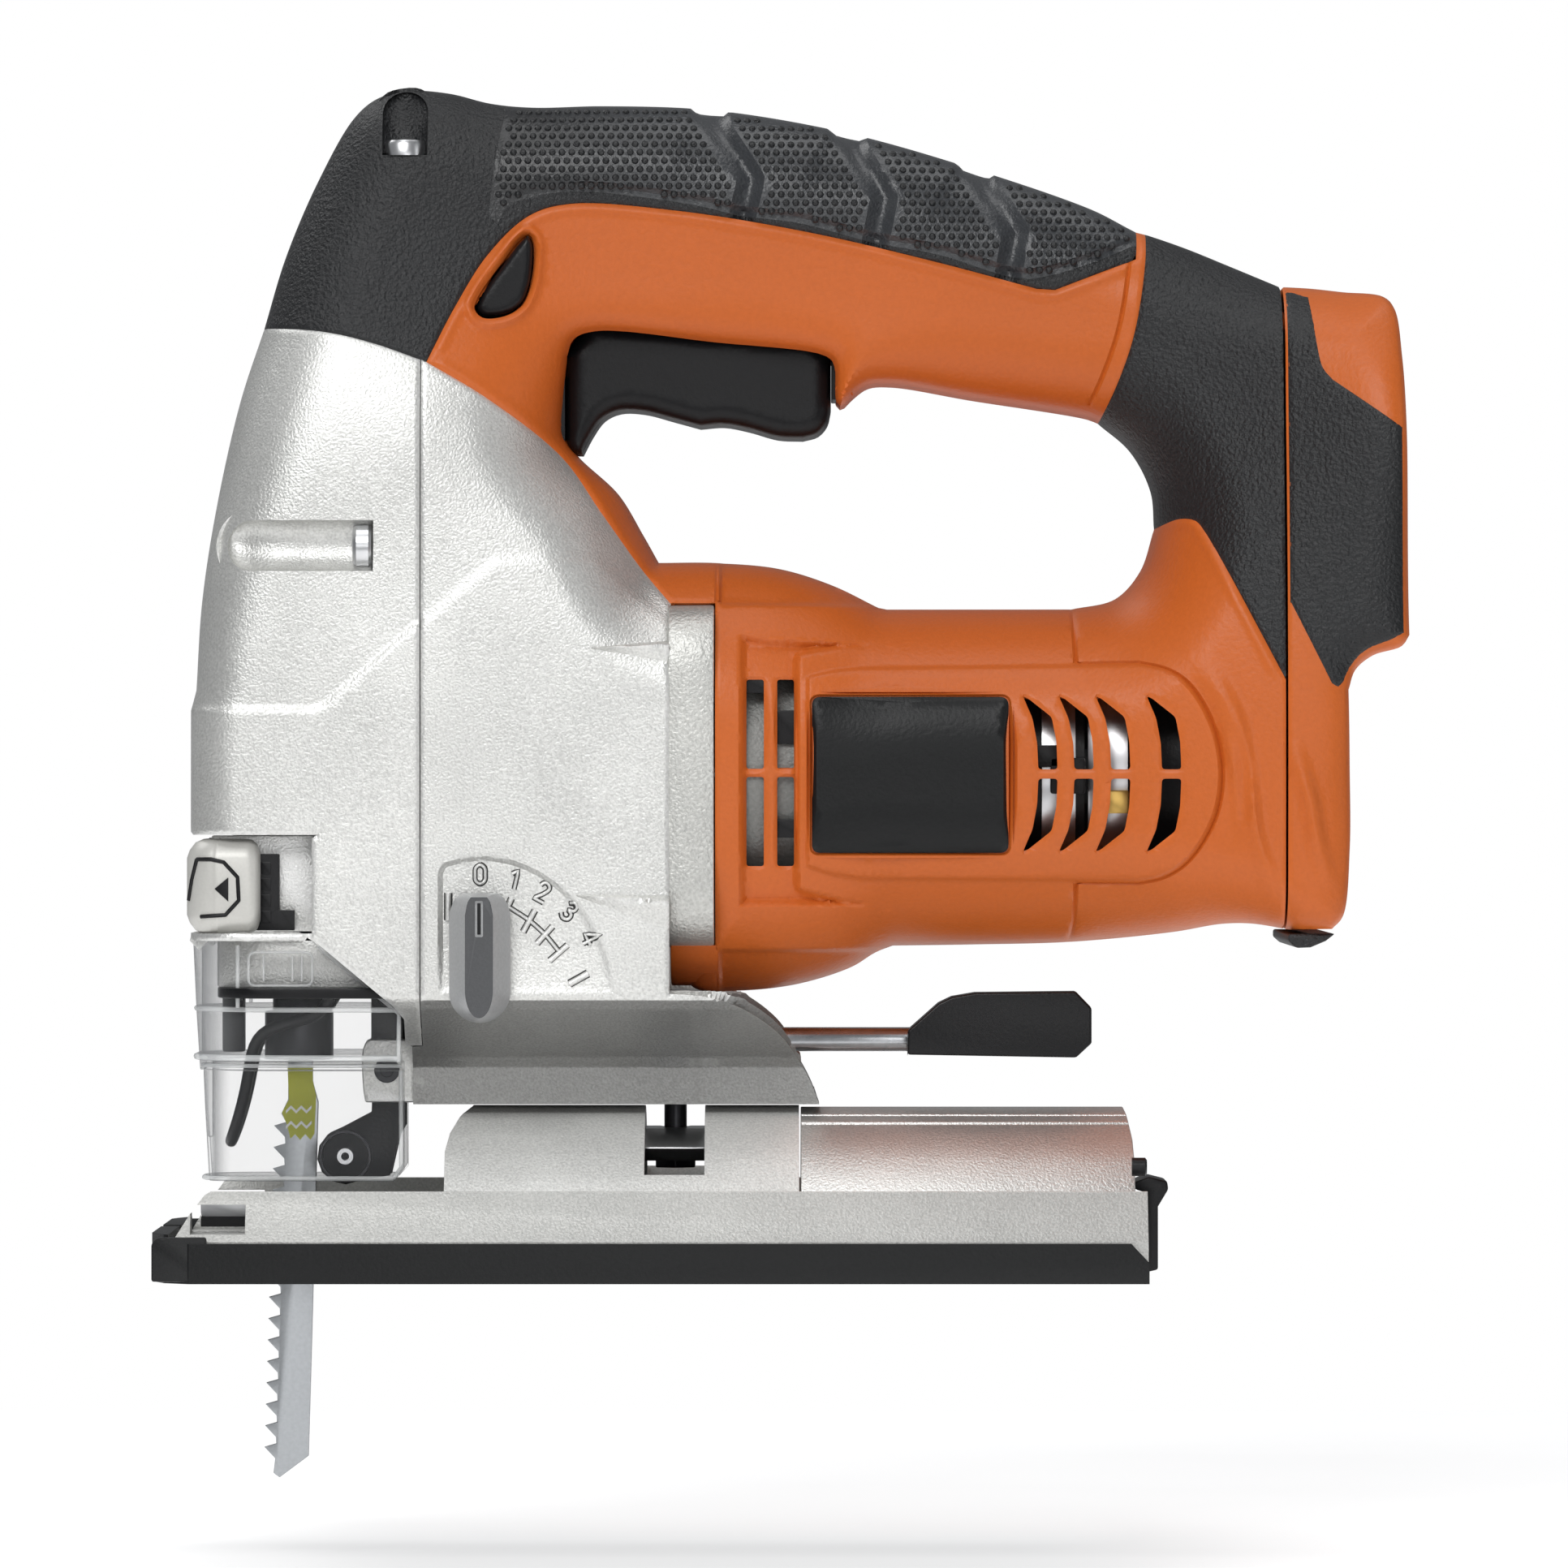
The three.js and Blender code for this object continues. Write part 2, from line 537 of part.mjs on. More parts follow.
// ---------- motor ----------
{
  const axis = [0, MOTOR_Z];
  const can = cut(rod("x", 19.5, 26, 70, axis, 28), rod("x", 17.2, 24, 68, axis, 28), rod("x", 9, 66, 72, axis, 16));
  add("motor_can", can, STEEL);
  const holder = cut(
    rod("x", 18, 70.3, 80, axis, 24),
    rod("x", 8.6, 69, 78, axis, 16),
    rod("x", 8.3, 77, 82, axis, 16),
  );
  add("brush_holder", unite(holder, ring("x", 10.5, 8.3, 79, 84, axis, 16)), BLACK);
  add("front_motor_bearing", ring("x", 8, 2.8, 3.4, 8.4, axis, 16), STEEL);
  add("rear_motor_bearing", ring("x", 8, 2.8, 79, 84, axis, 16), STEEL);
  add("motor_shaft", rod("x", 2.5, -36, 86, axis, 12), STEEL);
  add("armature_core", ring("x", 13.6, 10.9, 33, 61, axis, 20), STEEL);
  add("armature_winding", cut(unite(
    rod("x", 10.6, 28, 66, axis, 16),
    rod("x", 12.4, 28, 32.6, axis, 16),
    rod("x", 12.4, 61.4, 66, axis, 16),
  ), rod("x", 2.8, 20, 70, axis, 14)), COPPER);
  add("commutator", ring("x", 7.3, 2.8, 67, 77, axis, 16), COPPER);

  const blades = Array.from({ length: 9 }, (_, i) => {
    const blade = box(15.5, 22.5, -0.6, 0.6, 6.5, 22);
    return blade.rotate([i * 40, 0, 0]).translate([0, 0, MOTOR_Z]);
  });
  const fan = unite(rod("x", 7, 14, 22.5, axis, 16), rod("x", 22.8, 14, 15.6, axis, 20), ...blades);
  add("cooling_fan", cut(fan, rod("x", 2.8, 10, 30, axis, 14)), BLACK);
}

// ---------- gear train and crank ----------
// An involute gear with its first tooth at an angle in degrees, counted from +Y towards +Z.
const PRESSURE = (25 * Math.PI) / 180;
function gear(teeth, tip, root, x0, x1, z, firstTooth, bore) {
  const pitch = (MODULE * teeth) / 2;
  const base = pitch * Math.cos(PRESSURE);
  const involute = (angle) => Math.tan(angle) - angle;
  const halfAt = (radius) => {
    const angle = Math.acos(Math.min(1, base / Math.max(radius, base)));
    return (0.42 * Math.PI) / teeth + involute(PRESSURE) - involute(angle);
  };
  const radii = [root, tip];
  const points = [];
  for (let i = 0; i < teeth; i++) {
    const centre = (firstTooth * Math.PI) / 180 + (2 * Math.PI * i) / teeth;
    const flank = (sign) => radii.map((r) => {
      const angle = centre + sign * halfAt(r);
      return [r * Math.cos(angle), z + r * Math.sin(angle)];
    });
    points.push(...flank(-1), ...flank(1).reverse());
  }
  return cut(prism("x", points, x0, x1), rod("x", bore, x0 - 1, x1 + 1, [0, z], 12));
}
add("pinion", gear(PINION_TEETH, 5.9, 3.8, -34.8, -26.2, MOTOR_Z, 90, 2.8), STEEL);
add("drive_gear", gear(GEAR_TEETH, 19.8, 17.8, -34, -27, CRANK_Z, -90 + 180 / GEAR_TEETH, 5.3), STEEL);
{
  const axis = [0, CRANK_Z];
  const pinAngle = Math.asin(CRANK_REST / CRANK_R);
  const pin = [CRANK_R * Math.cos(pinAngle), CRANK_Z + CRANK_R * Math.sin(pinAngle)];
  const crank = unite(
    rod("x", 5, -44, -12, axis, 16),
    rod("x", 17.5, -48, -43.5, axis, 28),
    rod("x", 3.5, -51.9, -47.5, pin, 14),
  );
  add("crank_shaft", crank, STEEL);
  add("front_crank_bearing", ring("x", 8, 5.3, -40, -35.2, axis, 16), STEEL);
  add("rear_crank_bearing", ring("x", 8, 5.3, -20.6, -15.4, axis, 16), STEEL);
}

// ---------- plunger, its swinging guide, clamp and blade ----------
{
  const line = [PLUNGER_X, 0];
  const bushBlock = (z0, z1) => cut(box(-70, -57.6, -11, 11, z0, z1), rod("z", 6.5, z0 - 1, z1 + 1, line, 16));
  const rails = [-1, 1].map((s) => box(-67, -59, Math.min(s * 8.4, s * 11), Math.max(s * 8.4, s * 11), 66, 137));
  const trunnions = [-1, 1].map((s) => rod("y", 2.6, s > 0 ? 10.5 : -25, s > 0 ? 25 : -10.5, [PLUNGER_X, SWING_Z], 12));
  add("guide_frame", unite(bushBlock(67, 76), bushBlock(130, 137), ...rails, ...trunnions), STEEL);
  add("lower_bush", ring("z", 6.2, 4.8, 66.5, 76.5, line, 16), BRASS);
  add("upper_bush", ring("z", 6.2, 4.8, 129.5, 137.5, line, 16), BRASS);

  const stem = rod("z", 4.5, 50.3, 143, line, 16);
  const boss = box(-60, -55, -5, 5, YOKE_Z - 4, YOKE_Z + 4);
  const yoke = cut(
    box(-55.6, -52.2, -19, 19, YOKE_Z - 7, YOKE_Z + 7),
    box(-56, -52, -16.8, 16.8, YOKE_Z - 3.8, YOKE_Z + 3.8),
  );
  add("plunger", unite(stem, boss, yoke), STEEL);
  const slot = box(-67, -59.2, -1, 1, 36, 49);
  add("blade_clamp", cut(unite(rod("z", 6, 37.5, 46, line, 16), rod("z", 4.6, 45.5, 50, line, 16)), slot), STEEL);
}

// The blade's outline in X and Z. Its teeth lean forward and are spaced evenly along the front edge.
const BLADE_TIP_Z = -35.7;
const TOOTH_PITCH = 3.75;
{
  const teeth = [];
  for (let z = 26.5; z > BLADE_TIP_Z + 4; z -= TOOTH_PITCH) {
    const lean = (26.5 - z) * 0.03;
    teeth.push([-65.2 - lean, z], [-67.3 - lean, z - 0.6], [-65.4 - lean, z - 2.6]);
  }
  const profile = [
    [-64.8, 48.4],
    [-64.8, 30.5],
    [-66, 28],
    ...teeth,
    [-67.4, BLADE_TIP_Z + 0.8],
    [-66.3, BLADE_TIP_Z],
    [-61.2, -31.9],
    [-59.5, 30],
    [-60.6, 34],
    [-60.6, 48.4],
  ];
  add("saw_blade", prism("y", profile, -0.65, 0.65), STEEL);
}

// ---------- pendulum arm and roller ----------
{
  const cheek = [
    ...arc([ROLLER_X, ROLLER_Z], 4.9, 100, 300, 7),
    [-46.8, 17.4],
    [-45.2, 24.4],
    [-44.2, 26],
    [-44.2, 38.4],
    [-49.6, 38.4],
    [-50, 28.4],
  ];
  const plates = unite(prism("y", cheek, -6.2, -3.3), prism("y", cheek, 3.3, 6.2), box(-49, -44.4, -4, 4, 28.5, 31.5));
  const axle = rod("y", 1.6, -6.2, 6.2, [ROLLER_X, ROLLER_Z], 12);
  add("roller_arm", cut(unite(plates, axle), rod("y", 1.9, -10, 10, [ARM_X, ARM_Z], 12)), BLACK);
  add("arm_pin", rod("y", 1.6, -9.6, 9.6, [ARM_X, ARM_Z], 12), STEEL);
  const wheel = rod("y", ROLLER_R, -3, 3, [ROLLER_X, ROLLER_Z], 20);
  add("support_roller", cut(wheel, rod("y", 1.9, -5, 5, [ROLLER_X, ROLLER_Z], 12)), STEEL);
}

// ---------- finger guard wire ----------
{
  const leg = (s) => [
    [-56, s * 13.5, 59],
    [-56, s * 13.5, 49],
    [-58, s * 13, 45],
    [-66, s * 9, 43.6],
    [-71, s * 5.5, 41.5],
    [-71.4, s * 4.8, 33],
    [-73.4, s * 4, 27],
    [-75, s * 2.6, 22.8],
  ];
  const path = [...leg(-1), [-75.3, 0, 22.2], ...leg(1).reverse()].map((p) => new THREE.Vector3(...p));
  const section = outline(arc([0, 0], 1, 0, 288, 4));
  const curve = new THREE.CatmullRomCurve3(path, false, "centripetal");
  add("finger_guard", solid(new THREE.ExtrudeGeometry(section, { steps: 26, extrudePath: curve })), BLACK);
}

// ---------- clear chip guard: wide hood above a ledge, narrow skirt below it ----------
const HOOD_HALF = 24;
const SKIRT_HALF = 11.5;
const LEDGE_Z = 37.5;
const CLEAR_WALL = 1.5;
{
  const hoodSide = prism("y", [[-81.2, 58.6], [-59.6, 58.6], [-58.2, 57.2], [-45.4, 46.5], [-44.1, 46], [-44.1, 36], [-79.6, 36]], -FAR, FAR);
  const skirtSide = prism("y", [[-79.8, 40], [-44.1, 40], [-44.1, 18.5], [-46, 16.5], [-78.3, 16.5]], -FAR, FAR);
  const plan = (front, half) => {
    const round = half * 0.8;
    return [
      [-40, -half],
      ...arc([front + round, -half + round], round, 270, 180, 5),
      ...arc([front + round, half - round], round, 180, 90, 5),
      [-40, half],
    ];
  };
  const hood = prism("z", plan(-81.2, HOOD_HALF), 20, 70).intersect(hoodSide);
  const hoodRoom = prism("z", plan(-81.2 + CLEAR_WALL, HOOD_HALF - CLEAR_WALL), LEDGE_Z, 90);
  const skirt = prism("z", plan(-79.5, SKIRT_HALF), 10, 40).intersect(skirtSide);
  const skirtRoom = prism("z", plan(-79.5 + CLEAR_WALL, SKIRT_HALF - CLEAR_WALL), 0, 60);
  add("clear_guard", cut(unite(hood, skirt), hoodRoom, skirtRoom, box(-79.9, -77, -3, 3, 0, 24)), CLEAR);
}

// ---------- blade release lever: a front plate with a finger tab on the left, hinged on the right ----------
const LEVER_HINGE = [-78.7, 21];
{
  const plan = [
    [-68.2, -29.6],
    [-76, -29.6],
    ...arc([-75.3, -23.6], 6, 250, 180, 4),
    [-81.3, 14],
    ...arc([-77.3, 20.5], 4, 180, 90, 3),
    [-76.6, 24.5],
    [-76.6, 17],
    [-77.5, 14],
    [-77.5, -22],
    [-75.5, -25.4],
    [-68.2, -25.4],
  ];
  add("blade_lever", cut(prism("z", plan, 59.7, 76.2), rod("z", 1.4, 50, 80, LEVER_HINGE, 10)), SILVER);
  add("lever_pin", rod("z", 1.1, 59.7, 76.2, LEVER_HINGE, 10), STEEL);
}

// ---------- pendulum selector ----------
{
  const face = -30.6;
  const radius = 5.2;
  const knob = [
    ...arc([KNOB_X, KNOB_Z], radius, 180, 360, 8),
    [KNOB_X + radius, 62.5],
    [KNOB_X + 3.4, 66.9],
    [KNOB_X - 3.4, 66.9],
    [KNOB_X - radius, 62.5],
  ];
  const taper = prism("x", [[face, 40], [face, 70], [face - 4, 70], [face - 6.4, 64], [face - 6.4, 48], [face - 3.5, 43]], -50, -10);
  const body = prism("y", knob, face - 6.4, face).intersect(taper);
  const spindle = rod("y", 3, -30.8, -15, [KNOB_X, KNOB_Z], 14);
  add("selector_knob", unite(body, spindle), BLACK);
}

// ---------- trigger, lock button and switch ----------
{
  const paddle = prism("y", TRIGGER, -TRIGGER_HALF, TRIGGER_HALF);
  const stem = box(-6, 18, -5, 5, 158, 167.5);
  add("trigger", unite(paddle, stem), BLACK);
  add("lock_button", prism("y", LOCK_BUTTON, -23.5, 17), BLACK);
  add("switch_body", box(-8, 22, -7.5, 7.5, 174.5, 191), BLACK);
  add("control_board", box(93, 94.6, -13, 13, 108, 148), GREEN);
}

// ---------- label plates and screws ----------
for (const [side, sign] of SIDES) {
  const [x0, x1, z0, z1] = LABEL;
  const near = sign * LABEL_DEEP;
  const far = sign * 29.6;
  add(`${side}_label`, box(x0, x1, Math.min(near, far), Math.max(near, far), z0, z1), BLACK);

  const noseY = sign * 25.2;
  const noseScrew = unite(rod("x", 3, -51.5, -49.8, [noseY, 126.8], 12), rod("x", 1.6, -50.2, -35, [noseY, 126.8], 10));
  add(`${side}_nose_screw`, noseScrew.translate([-0.3, 0, 0]), STEEL);
  const topAt = [-43.7, sign * 15.5];
  add(`${side}_top_screw`, unite(rod("z", 3.6, 195.1, 197, topAt, 12), rod("z", 1.2, 191, 195.4, topAt, 8)), STEEL);
}

// ---------- shoe, dust duct, overshoe and its clip ----------
const SOLE_TOP = 2.2; // top of the overshoe's plate
const PLATE_TOP = 6.5; // top of the metal shoe's plate
const WINDOW_HALF = 24; // half-width of the shoe's open front
{
  const bottom = SOLE_TOP + GAP;
  const ridge = (s) => prism("x", [
    [s * 31.5, 5],
    [s * SHOE_HALF, 5],
    [s * SHOE_HALF, 7.2],
    [s * 34.6, 15.6],
    [s * 33.3, 15.6],
    [s * 31.5, 8],
  ], -83.2, 84.5);
  const sideView = prism("y", [
    [-83.2, 0],
    [84.5, 0],
    [84.5, 20],
    [-60, 20],
    [-60, 15.6],
    ...smooth([[-76.6, 15.6], [-78.6, 14], [-83.2, 6.7]], 3),
  ], -FAR, FAR);
  const plate = box(-83.2, 84.5, -SHOE_HALF, SHOE_HALF, bottom, PLATE_TOP);
  const archSection = [...arc([0, 0], ARCH_R, 12.5, 167.5, 14), ...arc([0, 0], ARCH_R - ARCH_WALL, 166, 14, 14)];
  const archNose = prism("y", [
    [-36.8, 2],
    [25, 2],
    [25, 31],
    [-31, 31],
    ...smooth([[-32.6, 29.2], [-35.4, 26.6], [-36.8, 22]], 3),
  ], -FAR, FAR);
  const arch = prism("x", archSection, -36.8, 24.6).intersect(archNose);
  const slotSector = prism("x", [
    [0, 0],
    ...arc([0, 0], 40, 142, 38, 8),
  ], BOLT_X - 5.2, BOLT_X + 5.2);
  const window = unite(box(-90, -40, -WINDOW_HALF, WINDOW_HALF, 0, 7), box(-43, 20, -25.6, 25.6, 0, 7));
  const guideSlot = box(-79.9, -70.5, -FAR, FAR, 8.4, 13.4);
  let shoe = unite(plate, ridge(-1), ridge(1)).intersect(sideView);
  shoe = cut(shoe, window);
  shoe = cut(unite(shoe, arch), cut(slotSector, rod("x", 20, -20, 30, [0, 0], 24)), guideSlot);
  add("shoe", shoe, SILVER);

  const grooves = [74, 106, 66, 114].map((deg) => {
    const [y, z] = arc([0, 0], ARCH_R - 0.3, deg, deg, 1)[0];
    return rod("x", 0.5, 20, 90, [y, z], 6);
  });
  const duct = prism("x", [...arc([0, 0], ARCH_R - 0.3, 13.5, 166.5, 14), ...arc([0, 0], ARCH_R - 3, 165, 15, 14)], 24.9, 82.7);
  const ductEnd = prism("y", [[20, 0], [83, 0], [82.7, 20], ...smooth([[82.7, 20], [82.2, 26], [80.6, 31]], 3), [20, 31]], -FAR, FAR);
  add("dust_duct", cut(duct.intersect(ductEnd), ...grooves), CAST);

  const overPlan = [
    [-86.9, -30],
    ...smooth([[-84.5, -37.5], [-80, -41.5]], 3),
    [84.6, -41.5],
    [84.6, 41.5],
    ...smooth([[-80, 41.5], [-84.5, 37.5], [-86.9, 30]], 4),
  ];
  const trough = box(-83.7, 90, -SHOE_HALF - GAP, SHOE_HALF + GAP, SOLE_TOP, 20);
  const rim = prism("y", [[-87, 0], [84.6, 0], [84.6, 3.6], [81.5, 6.9], [-83.4, 6.9], [-83.4, 8.4], [-86.9, 8.4]], -FAR, FAR);
  const bladeSlot = box(-90, -50, -3.2, 3.2, -1, 10);
  add("overshoe", cut(prism("z", overPlan, 0, 9).intersect(rim), trough, bladeSlot), BLACK);

  const clip = prism("y", [
    [85, 0.5],
    [87.2, 1],
    [87.2, 12],
    [89, 15],
    [88.8, 16.4],
    [85.6, 17.2],
    [82.9, 16.2],
    [83.2, 15],
    [85.2, 14.4],
  ], -8, 8);
  add("overshoe_clip", clip, BLACK);
}

// ---------- shoe clamp: bolt, plate inside the arch, and the tilt lever ----------
{
  const inner = ARCH_R - ARCH_WALL - 2 * GAP;
  const plate = prism("x", [...arc([0, 0], inner, 120, 60, 6), ...arc([0, 0], inner - 3, 61, 119, 6)], BOLT_X - 9, BOLT_X + 9);
  add("clamp_plate", cut(plate, rod("z", 2.3, 10, 40, [BOLT_X, 0], 12)), STEEL);
  const bolt = unite(rod("z", 2, 20, 36.2, [BOLT_X, 0], 12), rod("z", 4, 18.6, 22, [BOLT_X, 0], 6));
  add("clamp_bolt", bolt, STEEL);
  const hub = rod("z", 8.5, 37, 45.8, [BOLT_X + 2, 2], 18);
  const bar = rod("x", 2.2, BOLT_X + 4, 46, [0, 41], 10);
  add("tilt_lever", unite(hub.intersect(box(-6, 40, -5.6, 20, 30, 50)), bar), STEEL);
  const profile = [
    [43.6, 42.6],
    ...smooth([[49, 47.4], [53, 49], [60, 49.3]], 3),
    [73, 49.4],
    [75.7, 46.6],
    [75.7, 40.4],
    [73, 37.9],
    [43.6, 38.4],
  ];
  add("lever_grip", cut(prism("y", profile, -5.2, 5.2), rod("x", 2.5, 30, 46.3, [0, 41], 10)), BLACK);
}

export default jigsaw;
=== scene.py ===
"""Looks of the cordless jigsaw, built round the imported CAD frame.

Shapes are made in millimetres and scaled to metres."""

import json
import math

import bmesh
import bpy
import numpy as np
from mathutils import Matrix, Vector
from mathutils.geometry import delaunay_2d_cdt


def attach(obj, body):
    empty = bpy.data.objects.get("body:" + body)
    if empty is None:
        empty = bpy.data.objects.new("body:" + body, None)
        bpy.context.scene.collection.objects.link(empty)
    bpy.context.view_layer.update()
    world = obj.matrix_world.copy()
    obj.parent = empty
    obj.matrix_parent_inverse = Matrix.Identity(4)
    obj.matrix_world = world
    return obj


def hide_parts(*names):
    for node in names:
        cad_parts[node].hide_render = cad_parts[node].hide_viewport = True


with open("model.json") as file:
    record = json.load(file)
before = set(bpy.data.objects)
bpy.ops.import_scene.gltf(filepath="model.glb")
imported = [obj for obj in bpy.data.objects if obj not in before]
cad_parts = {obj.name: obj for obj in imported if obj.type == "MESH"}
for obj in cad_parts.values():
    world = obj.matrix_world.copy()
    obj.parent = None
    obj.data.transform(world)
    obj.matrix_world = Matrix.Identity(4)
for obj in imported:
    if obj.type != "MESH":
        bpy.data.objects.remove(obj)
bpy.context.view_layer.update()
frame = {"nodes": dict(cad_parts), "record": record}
MM = 0.001
MOTOR_Z = 87.0
TAU = 2 * math.pi


# ---------------------------------------------------------------- curves in a plane
def smooth(points, closed=False, step=0.8):
    """Points along a smooth curve through the given ones."""
    p = np.array(points, float)
    n = len(p)
    ends = range(n if closed else n - 1)
    out = []
    for i in ends:
        p1, p2 = p[i], p[(i + 1) % n]
        p0 = p[(i - 1) % n] if closed or i > 0 else 2 * p1 - p2
        p3 = p[(i + 2) % n] if closed or i + 2 < n else 2 * p2 - p1
        d0, d1, d2 = (max(np.linalg.norm(b - a), 1e-6) ** 0.5 for a, b in ((p0, p1), (p1, p2), (p2, p3)))
        m1 = (p2 - p1) + d1 * ((p1 - p0) / d0 - (p2 - p0) / (d0 + d1))
        m2 = (p2 - p1) + d1 * ((p3 - p2) / d2 - (p3 - p1) / (d1 + d2))
        count = max(1, round(float(np.linalg.norm(p2 - p1)) / step))
        for k in range(count):
            t = k / count
            out.append(
                (2 * t**3 - 3 * t**2 + 1) * p1
                + (t**3 - 2 * t**2 + t) * m1
                + (3 * t**2 - 2 * t**3) * p2
                + (t**3 - t**2) * m2
            )
    if not closed:
        out.append(p[-1])
    return np.array(out)


def straight(points, closed=False, step=0.8):
    """The same points joined by straight lines, filled in at an even step."""
    p = [np.array(q, float) for q in points]
    if closed:
        p.append(p[0])
    out = []
    for a, b in zip(p, p[1:]):
        count = max(1, round(float(np.linalg.norm(b - a)) / step))
        out += [a + (b - a) * k / count for k in range(count)]
    if not closed:
        out.append(p[-1])
    return np.array(out)


def arc(centre, radius, start, end, steps=12):
    angles = np.radians(np.linspace(start, end, steps + 1))
    return np.stack([centre[0] + radius * np.cos(angles), centre[1] + radius * np.sin(angles)], 1)


def chain(*lines):
    """Lines joined end to end, without doubled points."""
    out = []
    for line in lines:
        for q in np.asarray(line, float):
            if not out or np.linalg.norm(q - out[-1]) > 0.02:
                out.append(q)
    if np.linalg.norm(out[0] - out[-1]) < 0.02:
        out.pop()
    return np.array(out)


def between(line, a, b, closed=False):
    """The stretch of a dense line from the point nearest a to the one nearest b."""
    i = int(np.argmin(((line - a) ** 2).sum(1)))
    j = int(np.argmin(((line - b) ** 2).sum(1)))
    if not closed:
        return line[i : j + 1] if i <= j else line[j : i + 1][::-1]
    n = len(line)
    return line[[(i + k) % n for k in range((j - i) % n + 1)]]


def corners(x0, x1, z0, z1):
    """The corners of an upright rectangle."""
    return [(x0, z0), (x1, z0), (x1, z1), (x0, z1)]


def rounded(points, radius, steps=5):
    """A closed polygon with rounded corners."""
    p = [np.array(q, float) for q in points]
    out = []
    for i, b in enumerate(p):
        a, c = p[i - 1], p[(i + 1) % len(p)]
        u, v = (a - b) / np.linalg.norm(a - b), (c - b) / np.linalg.norm(c - b)
        reach = min(radius, 0.45 * np.linalg.norm(a - b), 0.45 * np.linalg.norm(c - b))
        for k in range(steps + 1):
            t = k / steps
            out.append(b + u * reach * (1 - t) ** 2 + v * reach * t**2)
    return np.array(out)


def gap_to(q, starts, ends, chunk=1500):
    """Distance from each point to the nearest of some straight pieces."""
    d = ends - starts
    length = np.maximum((d * d).sum(1), 1e-12)
    best = np.empty(len(q))
    for k in range(0, len(q), chunk):
        r = q[k : k + chunk, None, :] - starts[None]
        t = np.clip((r * d).sum(2) / length, 0, 1)
        e = r - t[..., None] * d
        best[k : k + chunk] = np.sqrt((e * e).sum(2)).min(1)
    return best


def gap(q, *lines):
    """Distance from each point to the nearest of the lines."""
    return gap_to(q, np.vstack([line[:-1] for line in lines]), np.vstack([line[1:] for line in lines]))


def inside(q, polygon):
    a, b = polygon, np.roll(polygon, -1, 0)
    hit = np.zeros(len(q), bool)
    for (x0, y0), (x1, y1) in zip(a, b):
        crosses = (y0 > q[:, 1]) != (y1 > q[:, 1])
        if crosses.any():
            hit ^= crosses & (q[:, 0] < (x1 - x0) * (q[:, 1] - y0) / ((y1 - y0) or 1e-12) + x0)
    return hit


def closed(line):
    return np.vstack([line, line[:1]])


def depth_inside(q, polygon):
    """Distance to a polygon's edge for the points in it, and none for the others."""
    return np.where(inside(q, polygon), gap(q, closed(polygon)), 0)


def offset(line, amount):
    """A line moved sideways."""
    t = np.gradient(line, axis=0)
    t /= np.maximum(np.linalg.norm(t, axis=1, keepdims=True), 1e-9)
    return line + np.stack([-t[:, 1], t[:, 0]], 1) * amount


def inset(polygon, amount):
    """A polygon drawn in by a distance."""
    drawn = [offset(closed(polygon), shift)[:-1] for shift in (amount, -amount)]
    return drawn[0] if inside(drawn[0][:1], polygon)[0] else drawn[1]


# ---------------------------------------------------------------- the body's outer form
def notched(line, places, half, depth):
    """A line with a flat-bottomed dip at some places along X."""
    away = np.abs(line[:, :1] - np.array(places)).min(1)
    share = np.clip((half - away) / 0.9, 0, 1)
    return line - np.stack([np.zeros(len(line)), depth * share], 1)


NOSE_FRONT = chain(
    straight([(-80.8, 59.2), (-80.8, 98.4)]),
    smooth([(-80.8, 98.4), (-79.9, 101.9)]),
    smooth([(-79.9, 101.9), (-79, 117.3), (-76.6, 134), (-72.7, 152.3), (-68.7, 164.9)]),
)
CHEVRON_TOPS = (9.1, 33.1, 55.4)
TOP = smooth([
    (-68.7, 164.9), (-65, 177.5), (-59.4, 190.8), (-53, 202), (-48.9, 205.4), (-43.3, 206.7), (-36.3, 206.2),
    (-29.3, 204.5),
    (-22, 203.8), (-10, 204), (5.7, 203.6), (18, 202.2), (35.1, 198.8), (53.3, 193.6), (75.7, 185.9),
    (83.4, 182),
    (85, 181.6), (92, 179.2), (99.5, 176.1), (108.2, 172.3),
])
TOP = notched(TOP, CHEVRON_TOPS, 3.2, 0.85)
MOUNT_BACK = chain(
    smooth([(108.2, 172.3), (114, 171.9), (119.1, 171.2), (125.8, 170.1), (127.6, 167.9), (128.6, 159.3),
            (129.1, 146.7), (129.5, 111.3)]),
    smooth([(129.5, 111.3), (128.2, 109.4), (123.3, 107.8), (120.3, 105.3), (119.1, 101.9)]),
    smooth([(119.1, 101.9), (119.3, 90), (119.3, 74.6), (118.2, 62.9), (116.4, 60.7)]),
)
BOTTOM = chain(
    smooth([(116.4, 60.7), (110.7, 60.2), (108.2, 60.7), (103, 61.5), (98, 61.4), (89.7, 59.9), (72.2, 58.1),
            (55, 57.6), (41, 57.4)]),
    smooth([(41, 57.4), (38, 56.2), (33.7, 53.6), (23.9, 50.6), (12.7, 49.5), (6.4, 50), (2.5, 55)]),
)
